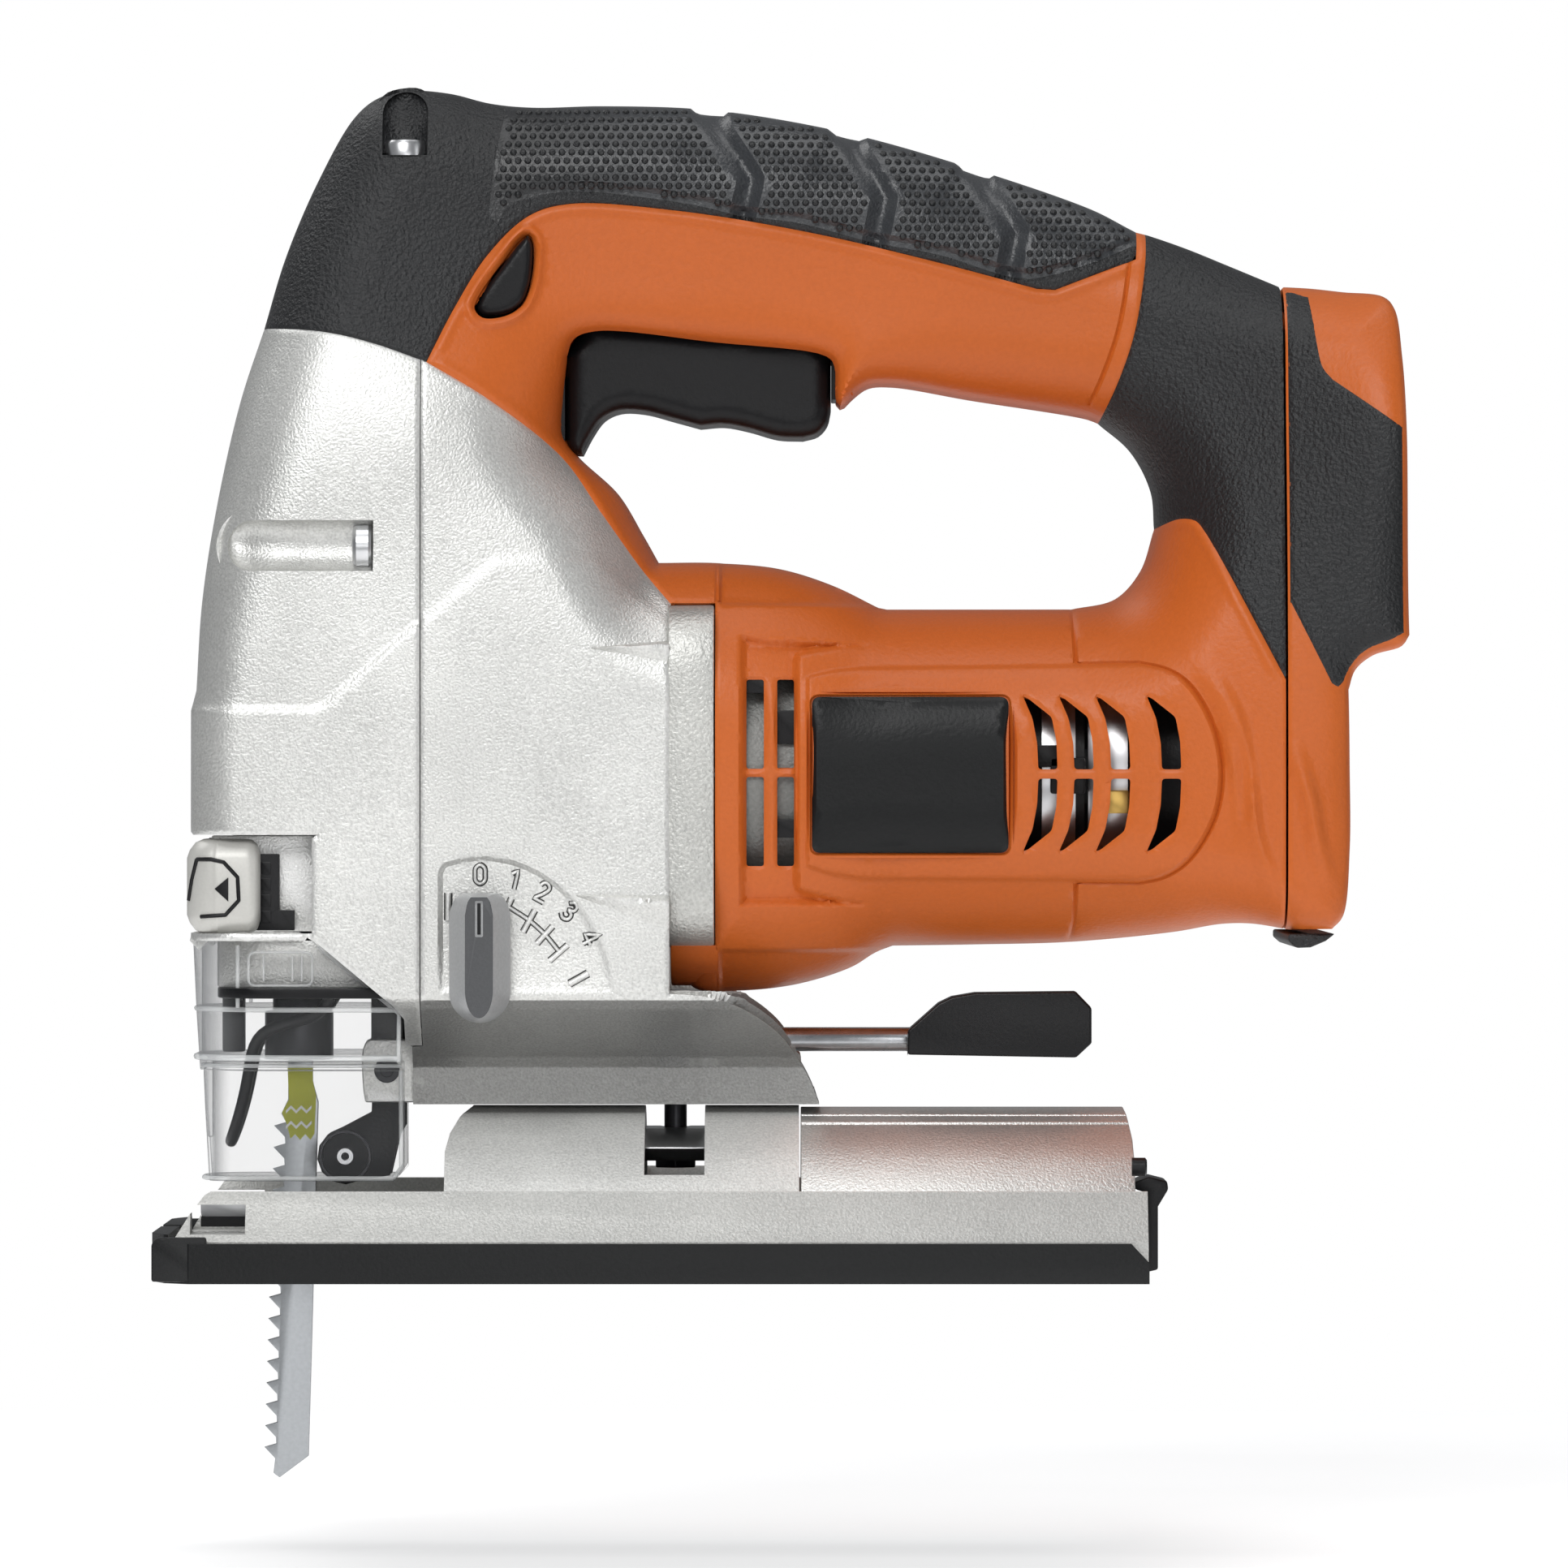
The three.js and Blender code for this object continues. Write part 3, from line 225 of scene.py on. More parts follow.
HOLE = chain(
    smooth([(0.1, 124.3), (9.9, 124.3), (21.1, 123.3), (30.5, 120.4), (38.5, 116.5)]),
    straight([(38.5, 116.5), (40, 116.2), (72.2, 116.2)]),
    smooth([(72.2, 116.2), (79.9, 118), (84.4, 122.9), (86.9, 130.3)]),
    smooth([(86.9, 130.3), (86.3, 136.9), (82.7, 143.9), (77, 148.9)]),
    smooth([(77, 148.9), (75.2, 149.6), (54.7, 153), (41, 155.4), (36.8, 155.2), (34.4, 153.6),
            (32.6, 151.8)]),
    smooth([(32.6, 151.8), (31.8, 151.5), (31.1, 152.3), (30.9, 157.3)]),
    smooth([(30.9, 157.3), (30.4, 159.2), (28.4, 160.4), (10, 162.5), (-10.8, 164.4), (-14.6, 163),
            (-15.8, 160)]),
    smooth([(-15.8, 160), (-16.6, 151.5), (-16.4, 146.4), (-13.9, 142.8), (-6.9, 136.2), (-2.7, 129.3),
            (0.1, 124.3)]),
)
SILHOUETTES = (NOSE_FRONT, TOP, MOUNT_BACK, BOTTOM, closed(HOLE))
HEAD_EDGES = (NOSE_FRONT, TOP, closed(HOLE))
MIDDLE = (TOP, BOTTOM, between(HOLE, (-15.8, 160), (30.9, 157.3), closed=True), closed(HOLE)[-2:])

# Place in X and Z, half-width of the body, half-width at its silhouette, and how far the edge's rounding
# reaches.
FORM = [
    (-80, 62, 29.6, 19, 9), (-80, 80, 29.6, 19, 9), (-80, 100, 29.5, 18.5, 9), (-78, 120, 29.2, 16, 12),
    (-75, 140, 28.4, 12, 15), (-72, 153, 27.4, 9, 17), (-68, 165, 25.5, 7, 17), (-62, 185, 22, 5, 17),
    (-50, 203, 18.5, 5, 15), (-40, 206, 18, 5, 15), (-60, 60, 29.6, 17, 9), (-60, 90, 29.6, 17, 9),
    (-40, 60, 29.6, 17, 9), (-40, 100, 29.6, 15, 12), (-20, 60, 29.6, 15, 12), (-20, 100, 29.4, 13, 14),
    (0, 60, 29.6, 6, 20), (0, 100, 29.4, 6, 22), (-40, 150, 27.3, 8, 17), (-50, 130, 28.6, 12, 16),
    (-20, 130, 27.4, 6, 17), (-5, 130, 25.5, 4, 20), (-13, 143, 22.5, 6, 14), (-30, 160, 23.2, 6, 15),
    (-45, 180, 20.5, 5, 16), (-20, 165, 19.4, 12.6, 9), (-20, 200, 17.6, 5, 15), (0, 202, 17.5, 5, 15),
    (0, 163, 17.8, 13.4, 6), (15, 180, 17.6, 7, 14), (30, 199, 17.5, 5, 15), (28, 160, 17.8, 13.2, 6),
    (50, 175, 17.6, 5, 14), (60, 190, 17.6, 5, 15), (60, 153, 17.4, 6, 13), (84, 181, 18.4, 5, 14),
    (76, 150, 18.2, 5, 13), (84, 142, 21, 5, 14), (92, 160, 20.5, 5, 15), (100, 176, 21.5, 6, 13),
    (87, 130, 25.5, 5, 16), (108, 172, 24, 9, 11), (108, 150, 28, 12, 12), (100, 130, 30, 8, 16),
    (108, 120, 34.4, 14, 14), (84, 121, 29, 3, 20), (72, 116, 29.4, 2, 23), (40, 116, 29.4, 1, 26),
    (20, 124, 29.3, 4, 31), (5, 124, 29.3, 4, 31), (12, 87, 29.4, 0, 29), (40, 87, 29.5, 1, 26),
    (72, 87, 30.2, 2, 24), (90, 87, 33.4, 8, 18), (108, 87, 36.8, 20, 12), (40, 57.5, 29.4, 1, 26),
    (20, 50, 29.3, 4, 31), (5, 50, 29.3, 4, 31), (72, 58, 29.8, 3, 23), (90, 60, 33, 10, 17),
    (105, 61, 36, 22, 10), (117, 61, 36.8, 31, 6), (119, 75, 37.6, 33.5, 4.5), (119, 102, 37.8, 33.5, 4.5),
    (129, 112, 37.9, 34, 4), (129, 146, 37.9, 34, 4), (128.5, 159, 34.6, 29, 6), (126, 170, 27, 20, 9),
    (118, 171, 26, 12, 11),
]
ANCHORS = np.array([row[:2] for row in FORM], float)


def bend(r2):
    return 0.5 * r2 * np.log(np.maximum(r2, 1e-9))


def weights_of(values):
    n = len(ANCHORS)
    k = bend(((ANCHORS[:, None] - ANCHORS[None]) ** 2).sum(2)) + np.eye(n) * 6.0
    p = np.hstack([np.ones((n, 1)), ANCHORS])
    system = np.block([[k, p], [p.T, np.zeros((3, 3))]])
    return np.linalg.solve(system, np.concatenate([values, np.zeros(3)]))


FIELDS = [weights_of(np.array([row[c] for row in FORM], float)) for c in (2, 3, 4)]


def body_half(q, edges=SILHOUETTES):
    """Half-width of the body at each point of its side view."""
    k = bend(((q[:, None] - ANCHORS[None]) ** 2).sum(2))
    p = np.hstack([k, np.ones((len(q), 1)), q])
    wide, edge, reach = (p @ w for w in FIELDS)
    edge = np.clip(edge, 0.2, wide)
    t = np.clip(gap(q, *edges) / np.maximum(reach, 2), 0, 1)
    return edge + (wide - edge) * np.sqrt(np.clip(1 - (1 - t) ** 2, 0, 1))


# ---------------------------------------------------------------- marks on a surface
# A mark is a function that gives the change in height at each point, the lines its mesh has to follow, how
# wide it reaches from them, and whether it needs finer points on both sides of them.
def step_in(polygon, depth, edge=0.6):
    """A sunken (or, with a negative depth, raised) field inside a polygon."""
    ring = closed(polygon)

    def delta(q):
        t = np.clip(depth_inside(q, polygon) / edge, 0, 1)
        return -depth * t * t * (3 - 2 * t)

    return delta, [ring], edge, True


def groove(line, width, depth, fade=0):
    """A groove (or a rib, with a negative depth) along a line. It can fade out towards the line's ends."""

    def delta(q):
        t = np.clip(gap(q, line) / width, 0, 1)
        shape = (1 - t * t) ** 2
        if fade:
            ends = np.minimum(np.linalg.norm(q - line[0], axis=1), np.linalg.norm(q - line[-1], axis=1))
            shape = shape * np.clip(ends / fade, 0, 1)
        return -depth * shape

    return delta, [line], width, False


def crease(line, width=0.5):
    """Lets the mesh follow a line that only bends the surface."""
    return lambda q: np.zeros(len(q)), [line], width, False


def chevron(line, width, depth):
    """A channel along a line with two flat walls that meet at a sharp floor."""

    def delta(q):
        return -depth * np.clip(1.15 - gap(q, line) / width * 1.15, 0, 1)

    return delta, [line], width, True


def cell_of(point, size):
    return int(math.floor(point[0] / size)), int(math.floor(point[1] / size))


def around(cell):
    return [(cell[0] + a, cell[1] + b) for a in (-1, 0, 1) for b in (-1, 0, 1)]


def crowded(point, others, least):
    return any((x - point[0]) ** 2 + (y - point[1]) ** 2 < least * least for x, y in others)


def thin(points, least):
    """The points without those that crowd an earlier one."""
    seen, kept = {}, []
    for i, point in enumerate(points):
        cell = cell_of(point, least)
        if crowded(point, [seen[c] for c in around(cell) if c in seen], least):
            continue
        seen[cell] = tuple(point)
        kept.append(i)
    return points[kept]


def apart(points, fixed, least):
    """Which points stand clear of all the fixed ones."""
    cells = {}
    for point in fixed:
        cells.setdefault(cell_of(point, least), []).append(tuple(point))
    near = [[p for c in around(cell_of(point, least)) for p in cells.get(c, ())] for point in points]
    return np.array([not crowded(point, others, least) for point, others in zip(points, near)], bool)


ROW_STEP = 0.866
TURN_RINGS = (0.12, 0.45, 1.0, 1.8, 2.8, 4.1, 5.7, 7.6, 9.8, 12.4)
BEVEL = 0.55
BEVEL_DROP = 0.7
ON_LINE = 0.06
POINT_GAP, EDGE_GAP = 0.28, 0.26
CREASE_CLEAR, FINE_CLEAR, GRID_CLEAR = 0.15, 0.1, 0.5
WALL_STEPS = 6


def panel_plan(boundary, holes, marks, turns_in, step):
    """The corners and triangles of a panel in the side view, fine where its edges and marks need it."""
    loops = [boundary, *holes]
    ring = closed(boundary)
    samples = []
    for loop in loops:
        for amount in (BEVEL * 0.3, BEVEL * 0.65, BEVEL, BEVEL * 1.8):
            samples += [offset(closed(loop), amount), offset(closed(loop), -amount)]
    if turns_in:
        for amount in TURN_RINGS:
            samples += [offset(ring, amount), offset(ring, -amount)]
    creases = []
    for _, lines, width, whole in marks:
        for line in lines:
            creases += [line] + [offset(line, k * width) for k in ((-1, 1) if whole else (-1, -0.5, 0.5, 1))]
            samples += [offset(line, k * width) for k in (-0.66, -0.33, 0.33, 0.66)] if whole else []
    low, high = boundary.min(0), boundary.max(0)
    rows = []
    for j, z in enumerate(np.arange(low[1], high[1], step * ROW_STEP)):
        xs = np.arange(low[0] + (j % 2) * step / 2, high[0], step)
        rows.append(np.stack([xs, np.full(len(xs), z)], 1))

    def usable(q, clear):
        good = inside(q, boundary) & (gap(q, *[closed(loop) for loop in loops]) > clear)
        for hole in holes:
            good &= ~inside(q, hole)
        return good

    fixed, edges = [], []
    for loop in loops:
        start, n = len(fixed), len(loop)
        fixed += list(loop)
        edges += [(start + i, start + (i + 1) % n) for i in range(n)]
    for line in creases:
        last = -1
        for point, good in zip(line, usable(line, CREASE_CLEAR)):
            if good:
                fixed.append(point)
                if last >= 0:
                    edges.append((last, len(fixed) - 1))
            last = len(fixed) - 1 if good else -1
    fixed = np.array(fixed)
    fine, grid = np.vstack(samples), np.vstack(rows)
    fine, grid = fine[usable(fine, FINE_CLEAR)], grid[usable(grid, GRID_CLEAR)]
    loose = thin(np.vstack([fine, grid]), POINT_GAP)
    spots = np.vstack([fixed, loose[apart(loose, fixed, EDGE_GAP)]])
    flat, _, faces, *_ = delaunay_2d_cdt([Vector(c) for c in spots], edges, [], 0, 1e-5)
    q = np.array([tuple(v) for v in flat])
    faces = np.array([f for f in faces if len(f) == 3])
    centre = q[faces].mean(1)
    good = inside(centre, boundary)
    for hole in holes:
        good &= ~inside(centre, hole)
    return q, faces[good]


def wall_in(verts, faces, q, mid, side, part):
    """Adds the wall from a silhouette edge in to the middle plane."""
    counted = {(f[k], f[(k + 1) % 3]) for f in faces for k in range(3)}
    rim = [(f[k], f[(k + 1) % 3]) for f in faces for k in range(3) if (f[(k + 1) % 3], f[k]) not in counted]
    if not rim:
        return
    ends = np.array(rim)
    on_edge = gap((q[ends[:, 0]] + q[ends[:, 1]]) / 2, *mid) < ON_LINE
    columns = {}

    def column(i):
        if i not in columns:
            x, y, z = verts[i]
            half = abs(y)
            columns[i] = [i, *range(len(verts), len(verts) + WALL_STEPS)]
            verts.extend((x, side * (half + (part - half) * k / WALL_STEPS), z)
                         for k in range(1, WALL_STEPS + 1))
        return columns[i]

    for (a, b), on in zip(rim, on_edge):
        if on and max(abs(verts[a][1]), abs(verts[b][1])) > part + 0.05:
            ca, cb = column(a), column(b)
            faces += [(cb[k], ca[k], ca[k + 1], cb[k + 1]) for k in range(WALL_STEPS)]


def panel(boundary, height, mid=(), holes=(), marks=(), side=-1, part=0.12, step=1.5):
    """One side of the body over a region of its side view, as vertices and faces.
    It turns in to the middle plane along the mid lines, and its other edges are rounded over."""
    boundary = np.asarray(boundary)
    ring = closed(boundary)
    seam = np.ones(len(boundary), bool)
    if mid:
        seam = gap((ring[1:] + ring[:-1]) / 2, *mid) >= ON_LINE
    starts = np.vstack([ring[:-1][seam], *holes])
    ends = np.vstack([ring[1:][seam], *[np.roll(hole, -1, 0) for hole in holes]])
    q, triangles = panel_plan(boundary, holes, marks, bool(mid), step)
    y = height(q)
    for delta, *_ in marks:
        y = y + delta(q)
    if len(starts):
        t = np.clip(gap_to(q, starts, ends) / BEVEL, 0, 1)
        y = y - BEVEL * BEVEL_DROP * (1 - np.sqrt(1 - (1 - t) ** 2))
    y = np.maximum(y, part)
    verts = [(x, side * h, z) for (x, z), h in zip(q, y)]
    area = np.cross(q[triangles[:, 1]] - q[triangles[:, 0]], q[triangles[:, 2]] - q[triangles[:, 0]])
    faces = [tuple(f) if (a > 0) == (side < 0) else tuple(f[::-1]) for f, a in zip(triangles, area)]
    if mid:
        wall_in(verts, faces, q, mid, side, part)
    return verts, faces


# ---------------------------------------------------------------- mesh objects
def make(name, verts, faces, mat, sharp=38):
    mesh = bpy.data.meshes.new(name)
    mesh.from_pydata([(x * MM, y * MM, z * MM) for x, y, z in verts], [], faces)
    bm = bmesh.new()
    bm.from_mesh(mesh)
    bmesh.ops.delete(bm, geom=[v for v in bm.verts if not v.link_faces], context="VERTS")
    bm.to_mesh(mesh)
    bm.free()
    return finish_mesh(name, mesh, mat, sharp)


def shade(mesh, sharp):
    for poly in mesh.polygons:
        poly.use_smooth = True
    mesh.set_sharp_from_angle(angle=math.radians(sharp))


def finish_mesh(name, mesh, mat, sharp):
    shade(mesh, sharp)
    obj = bpy.data.objects.new(name, mesh)
    bpy.context.scene.collection.objects.link(obj)
    mesh.materials.clear()
    mesh.materials.append(mat)
    return obj


def applied(obj):
    """The object with its modifiers made part of its mesh."""
    bpy.context.view_layer.update()
    graph = bpy.context.evaluated_depsgraph_get()
    mesh = bpy.data.meshes.new_from_object(obj.evaluated_get(graph))
    old = obj.data
    obj.modifiers.clear()
    obj.data = mesh
    bpy.data.meshes.remove(old)
    return obj


def thicken(obj, thickness, sharp=38):
    mod = obj.modifiers.new("shell", "SOLIDIFY")
    mod.thickness = thickness * MM
    mod.offset = -1
    mod.use_rim = True
    applied(obj)
    shade(obj.data, sharp)
    return obj


def carve(obj, cutter):
    """Cuts another object out of this one, and removes it."""
    mod = obj.modifiers.new("cut", "BOOLEAN")
    mod.operation = "DIFFERENCE"
    mod.solver = "EXACT"
    mod.object = cutter
    applied(obj)
    bpy.data.objects.remove(cutter)


def round_edges(bm, bevel, segments, hard):
    geom = [e for e in bm.edges if len(e.link_faces) == 2 and hard(e)]
    bmesh.ops.bevel(bm, geom=geom, offset=bevel, segments=segments, profile=0.6, affect="EDGES",
                    clamp_overlap=True)


def put(name, bm, mat, sharp=35, bevel=0.0, segments=2):
    """A bmesh made in millimetres becomes an object, with its hard edges rounded."""
    bmesh.ops.recalc_face_normals(bm, faces=bm.faces)
    if bevel:
        round_edges(bm, bevel, segments, lambda e: e.calc_face_angle(0) > math.radians(28))
    return from_bmesh(name, bm, mat, sharp)


def from_bmesh(name, bm, mat, sharp):
    bmesh.ops.scale(bm, verts=bm.verts, vec=(MM, MM, MM))
    mesh = bpy.data.meshes.new(name)
    bm.to_mesh(mesh)
    bm.free()
    return finish_mesh(name, mesh, mat, sharp)


def refined(node, mat, bevel, segments=2):
    """A copy of a CAD piece with its flat faces merged and its hard edges rounded."""
    bm = bmesh.new()
    bm.from_mesh(frame["nodes"][node].data)
    bmesh.ops.scale(bm, verts=bm.verts, vec=(1 / MM, 1 / MM, 1 / MM))
    bmesh.ops.remove_doubles(bm, verts=bm.verts, dist=0.002)
    bmesh.ops.dissolve_limit(bm, angle_limit=math.radians(1.2), verts=bm.verts, edges=bm.edges)
    bmesh.ops.recalc_face_normals(bm, faces=bm.faces)
    round_edges(bm, bevel, segments, lambda e: e.is_convex and e.calc_face_angle(0) > math.radians(25))
    return from_bmesh(f"{node}_form", bm, mat, 40)


def skin(bm, rings, loop=False):
    """Faces between rings of corners, with a lid on both ends unless the last ring is the first."""
    for a, b in zip(rings, rings[1:]):
        for k in range(len(a)):
            j = (k + 1) % len(a)
            bm.faces.new((a[k], a[j], b[j], b[k]))
    if loop:
        bmesh.ops.remove_doubles(bm, verts=bm.verts, dist=1e-4)
    else:
        bm.faces.new(rings[0][::-1])
        bm.faces.new(rings[-1])
    return bm


def place(axis, a, b, c):
    """A point from its place along an axis and the two others in X, Y, Z order."""
    return {"x": (a, b, c), "y": (b, a, c), "z": (b, c, a)}[axis]


def prism(profile, axis, low, high):
    bm = bmesh.new()
    return skin(bm, [[bm.verts.new(place(axis, at, *p)) for p in profile] for at in (low, high)])


def block(x0, x1, z0, z1, y0, y1):
    return prism(corners(x0, x1, z0, z1), "y", y0, y1)


def circle(centre, radius, sides):
    turns = [TAU * k / sides for k in range(sides)]
    return [(centre[0] + radius * math.cos(t), centre[1] + radius * math.sin(t)) for t in turns]


def lathe(profile, axis, centre, sides=64):
    """A ring of sections: profile gives (place along the axis, radius)."""
    bm = bmesh.new()
    rings = [[bm.verts.new(place(axis, at, *p)) for p in circle(centre, r, sides)] for at, r in profile]
    return skin(bm, rings, loop=profile[0] == profile[-1])


def tube(points, radius, sides=8):
    """A round wire along a path."""
    p = [Vector(q) for q in points]
    bm = bmesh.new()
    rings = []
    normal = None
    for i, q in enumerate(p):
        t = (p[min(i + 1, len(p) - 1)] - p[max(i - 1, 0)]).normalized()
        if normal is None:
            normal = t.orthogonal().normalized()
        normal = (normal - t * normal.dot(t)).normalized()
        other = t.cross(normal)
        rings.append([bm.verts.new(q + normal * a + other * b) for a, b in circle((0, 0), radius, sides)])
    return skin(bm, rings)


def wire(name, points, radius, mat, sides=8):
    return put(name, tube(points, radius, sides), mat, sharp=60)


def join(name, objects):
    """Objects made one, each with its own material."""
    bm = bmesh.new()
    mats = []
    for obj in objects:
        first = len(bm.faces)
        bm.from_mesh(obj.data)
        bm.faces.ensure_lookup_table()
        mat = obj.data.materials[0]
        if mat not in mats:
            mats.append(mat)
        for f in bm.faces[first:]:
            f.material_index = mats.index(mat)
    mesh = bpy.data.meshes.new(name)
    bm.to_mesh(mesh)
    bm.free()
    for mat in mats:
        mesh.materials.append(mat)
    for obj in objects:
        bpy.data.objects.remove(obj)
    obj = bpy.data.objects.new(name, mesh)
    bpy.context.scene.collection.objects.link(obj)
    return obj


def own(obj, body, slot, *nodes):
    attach(obj, body)
    if nodes:
        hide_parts(*nodes)
    return obj


# ---------------------------------------------------------------- materials
def linear(rgb):
    return [((c / 255 + 0.055) / 1.055) ** 2.4 if c > 10 else c / 255 / 12.92 for c in rgb]


class Finish:
    """A material under construction: its nodes, its links and its shader."""

    def __init__(self, name):
        self.mat = bpy.data.materials.new(name)
        self.mat.use_nodes = True
        self.tree = self.mat.node_tree
        self.shader = self.tree.nodes["Principled BSDF"]

    def node(self, kind, inputs=(), **settings):
        """Adds a node with values on its inputs and links to the sockets among them."""
        new = self.tree.nodes.new("ShaderNode" + kind)
        for key, value in settings.items():
            setattr(new, key, value)
        self.fill(new, inputs)
        return new

    def fill(self, target, inputs):
        for key, value in dict(inputs).items():
            if isinstance(value, bpy.types.NodeSocket):
                self.tree.links.new(value, target.inputs[key])
            else:
                target.inputs[key].default_value = value

    def noise(self, scale, detail):
        spot = self.node("TexCoord").outputs["Object"]
        return self.node("TexNoise", {"Vector": spot, "Scale": scale, "Detail": detail}).outputs["Fac"]

    def ramp(self, share, low, high, dark, light):
        new = self.node("ValToRGB", {"Fac": share})
        for stop, position, colour in zip(new.color_ramp.elements, (low, high), (dark, light)):
            stop.position = position
            stop.color = [*colour, 1]
        return new.outputs["Color"]

    def mix(self, share, a, b):
        inputs = {"Factor": share, "A": a, "B": b}
        return self.node("Mix", inputs, data_type="RGBA").outputs["Result"]

    def spread(self, value, low, high, **limits):
        inputs = {"Value": value, "To Min": low, "To Max": high,
                  **{k.replace("_", " "): v for k, v in limits.items()}}
        return self.node("MapRange", inputs).outputs["Result"]

    def bump(self, height, strength, distance):
        inputs = {"Height": height, "Strength": strength, "Distance": distance}
        return self.node("Bump", inputs).outputs["Normal"]


BROAD_NOISE = (35, 4)
FLECK_LIMITS = (0.3, 0.7)
WORN_LIMITS = (0.53, 0.62)
ROUGH_SPREAD = 0.07


def material(name, rgb, rough, metal=0.0, grain=(900, 0.1, 0.00008), fleck=0.06, wear=0.25, spec=0.5,
             fade=None):
    """Procedural finish. grain is the size, share and height of the surface's texture, fleck how much its
    colour varies, and wear how much its edges lighten. fade gives two places along X, and the colour up to
    the first of them, which turns into the finish's own by the second."""
    finish = Finish(name)
    fine, broad = finish.noise(grain[0], 3), finish.noise(*BROAD_NOISE)
    base = linear(rgb)
    part = finish.node("Math", {0: broad, 1: 0.4}, operation="MULTIPLY").outputs[0]
    share = finish.node("Math", {0: fine, 1: 0.6, 2: part}, operation="MULTIPLY_ADD").outputs[0]
    dark, light = [c * (1 - fleck) for c in base], [min(c * (1 + fleck), 1) for c in base]
    colour = finish.ramp(share, *FLECK_LIMITS, dark, light)
    edges = finish.node("NewGeometry").outputs["Pointiness"]
    worn = finish.ramp(edges, *WORN_LIMITS, (0, 0, 0), (wear, wear, wear))
    paint = finish.mix(worn, colour, [min(1, c * 1.6 + 0.02) for c in base] + [1])
    if fade:
        start, end, other = fade
        spot = finish.node("TexCoord").outputs["Object"]
        x = finish.node("SeparateXYZ", {0: spot}).outputs["X"]
        paint = finish.mix(finish.spread(x, 0, 1, From_Min=start * MM, From_Max=end * MM),
                           linear(other) + [1], paint)
    finish.fill(finish.shader, {
        "Metallic": metal,
        "Specular IOR Level": spec,
        "Base Color": paint,
        "Roughness": finish.spread(broad, max(0.02, rough - ROUGH_SPREAD), min(1, rough + ROUGH_SPREAD)),
        "Normal": finish.bump(fine, grain[1], grain[2]),
    })
    return finish.mat


def clear_plastic(name, thin_share, edge_share, colour):
    """Clear plastic: almost nothing where it is seen square on, and more where it turns away. That grey where
    it turns away is a painted reflection.
    """
    finish = Finish(name)
    turn = finish.node("LayerWeight", {"Blend": 0.35}).outputs["Facing"]
    haze = finish.noise(180, 5)
    finish.fill(finish.shader, {
        "Base Color": (*colour, 1),
        "Specular IOR Level": 0.8,
        "Alpha": finish.spread(turn, thin_share, edge_share, From_Min=0.15),
        "Roughness": finish.spread(haze, 0.03, 0.16),
        "Normal": finish.bump(haze, 0.1, 0.0002),
    })
    return finish.mat


ORANGE = material("orange_plastic", (192, 94, 33), 0.42, grain=(1300, 0.5, 0.00016), fleck=0.06, wear=0.3,
                  spec=0.35)
RUBBER = material("black_rubber", (22, 23, 25), 0.44, grain=(1500, 1.0, 0.00045), fleck=0.3, wear=0.3,
                  spec=0.45)
# The raised pad's rubber: glossier, and coloured lighter as a painted sheen that fades in from the plain
# rubber's colour between X -24 and 0.
PAD_GLOSS_PAINTED_SHEEN = material("pad_gloss_painted_sheen", (50, 52, 55), 0.36, grain=(1800, 0.7, 0.0002), fleck=0.2, spec=0.6,
                       fade=(-24, 0, (22, 23, 25)))
BLACK = material("black_plastic", (16, 16, 18), 0.36, grain=(1600, 0.4, 0.0001), fleck=0.12, spec=0.25)
SATIN = material("satin_black", (16, 17, 18), 0.4, grain=(1500, 0.5, 0.00012), fleck=0.2, wear=0.3, spec=0.25)
SILVER = material("silver_paint", (210, 210, 207), 0.4, metal=0.7, grain=(2300, 0.7, 0.0002), fleck=0.24,
                  wear=0.35)
CAST = material("cast_alloy", (190, 190, 186), 0.42, metal=0.6, grain=(1700, 0.9, 0.00024), fleck=0.26,
                wear=0.4)
STEEL = material("steel", (178, 180, 183), 0.28, metal=1.0, grain=(900, 0.25, 0.00004), fleck=0.1, wear=0.3)
CHROME = material("plated_steel", (205, 206, 208), 0.3, metal=1.0, grain=(700, 0.15, 0.00003), fleck=0.05,
                  wear=0.2)
SHOE_PAINT = material("shoe_paint", (178, 178, 175), 0.44, metal=0.5, grain=(2300, 0.6, 0.00016), fleck=0.24,
                      wear=0.3)
# A darker copy of the silver paint for the gear case's lower faces: painted shade under the body's overhang.
FOOT_PAINTED_SHADE = material("foot_painted_shade", (146, 146, 144), 0.42, metal=0.6, grain=(2300, 0.7, 0.0002), fleck=0.24,
                       wear=0.3)
# A lighter, less metallic copy of the shoe paint for the arch and above: painted light where the body above
# shades it.
ARCH_PAINTED_LIGHT = material("arch_painted_light", (222, 222, 219), 0.46, metal=0.25, grain=(2300, 0.7, 0.0002), fleck=0.24,
                      wear=0.3, spec=0.3)
# A lighter, non-metallic copy of the shoe paint for its flat faces that face up: painted light on the top
# face.
SHOE_TOP_PAINTED_LIGHT = material("shoe_top_painted_light", (186, 186, 183), 0.6, grain=(2300, 0.5, 0.00014), fleck=0.2, wear=0.2,
                    spec=0.1)
DARK_STEEL = material("dark_steel", (44, 44, 47), 0.34, metal=0.8, grain=(900, 0.4, 0.00006), fleck=0.15,
                      wear=0.5)
BLADE = material("blade_steel", (166, 169, 172), 0.34, metal=0.85, grain=(1400, 0.3, 0.00004), fleck=0.1,
                 wear=0.5)
COPPER = material("copper", (186, 110, 62), 0.35, metal=1.0, grain=(1200, 0.4, 0.00006))
BRASS = material("brass", (198, 164, 92), 0.35, metal=1.0, grain=(1200, 0.3, 0.00004))
BOARD = material("board", (22, 84, 48), 0.5, grain=(800, 0.3, 0.00004))
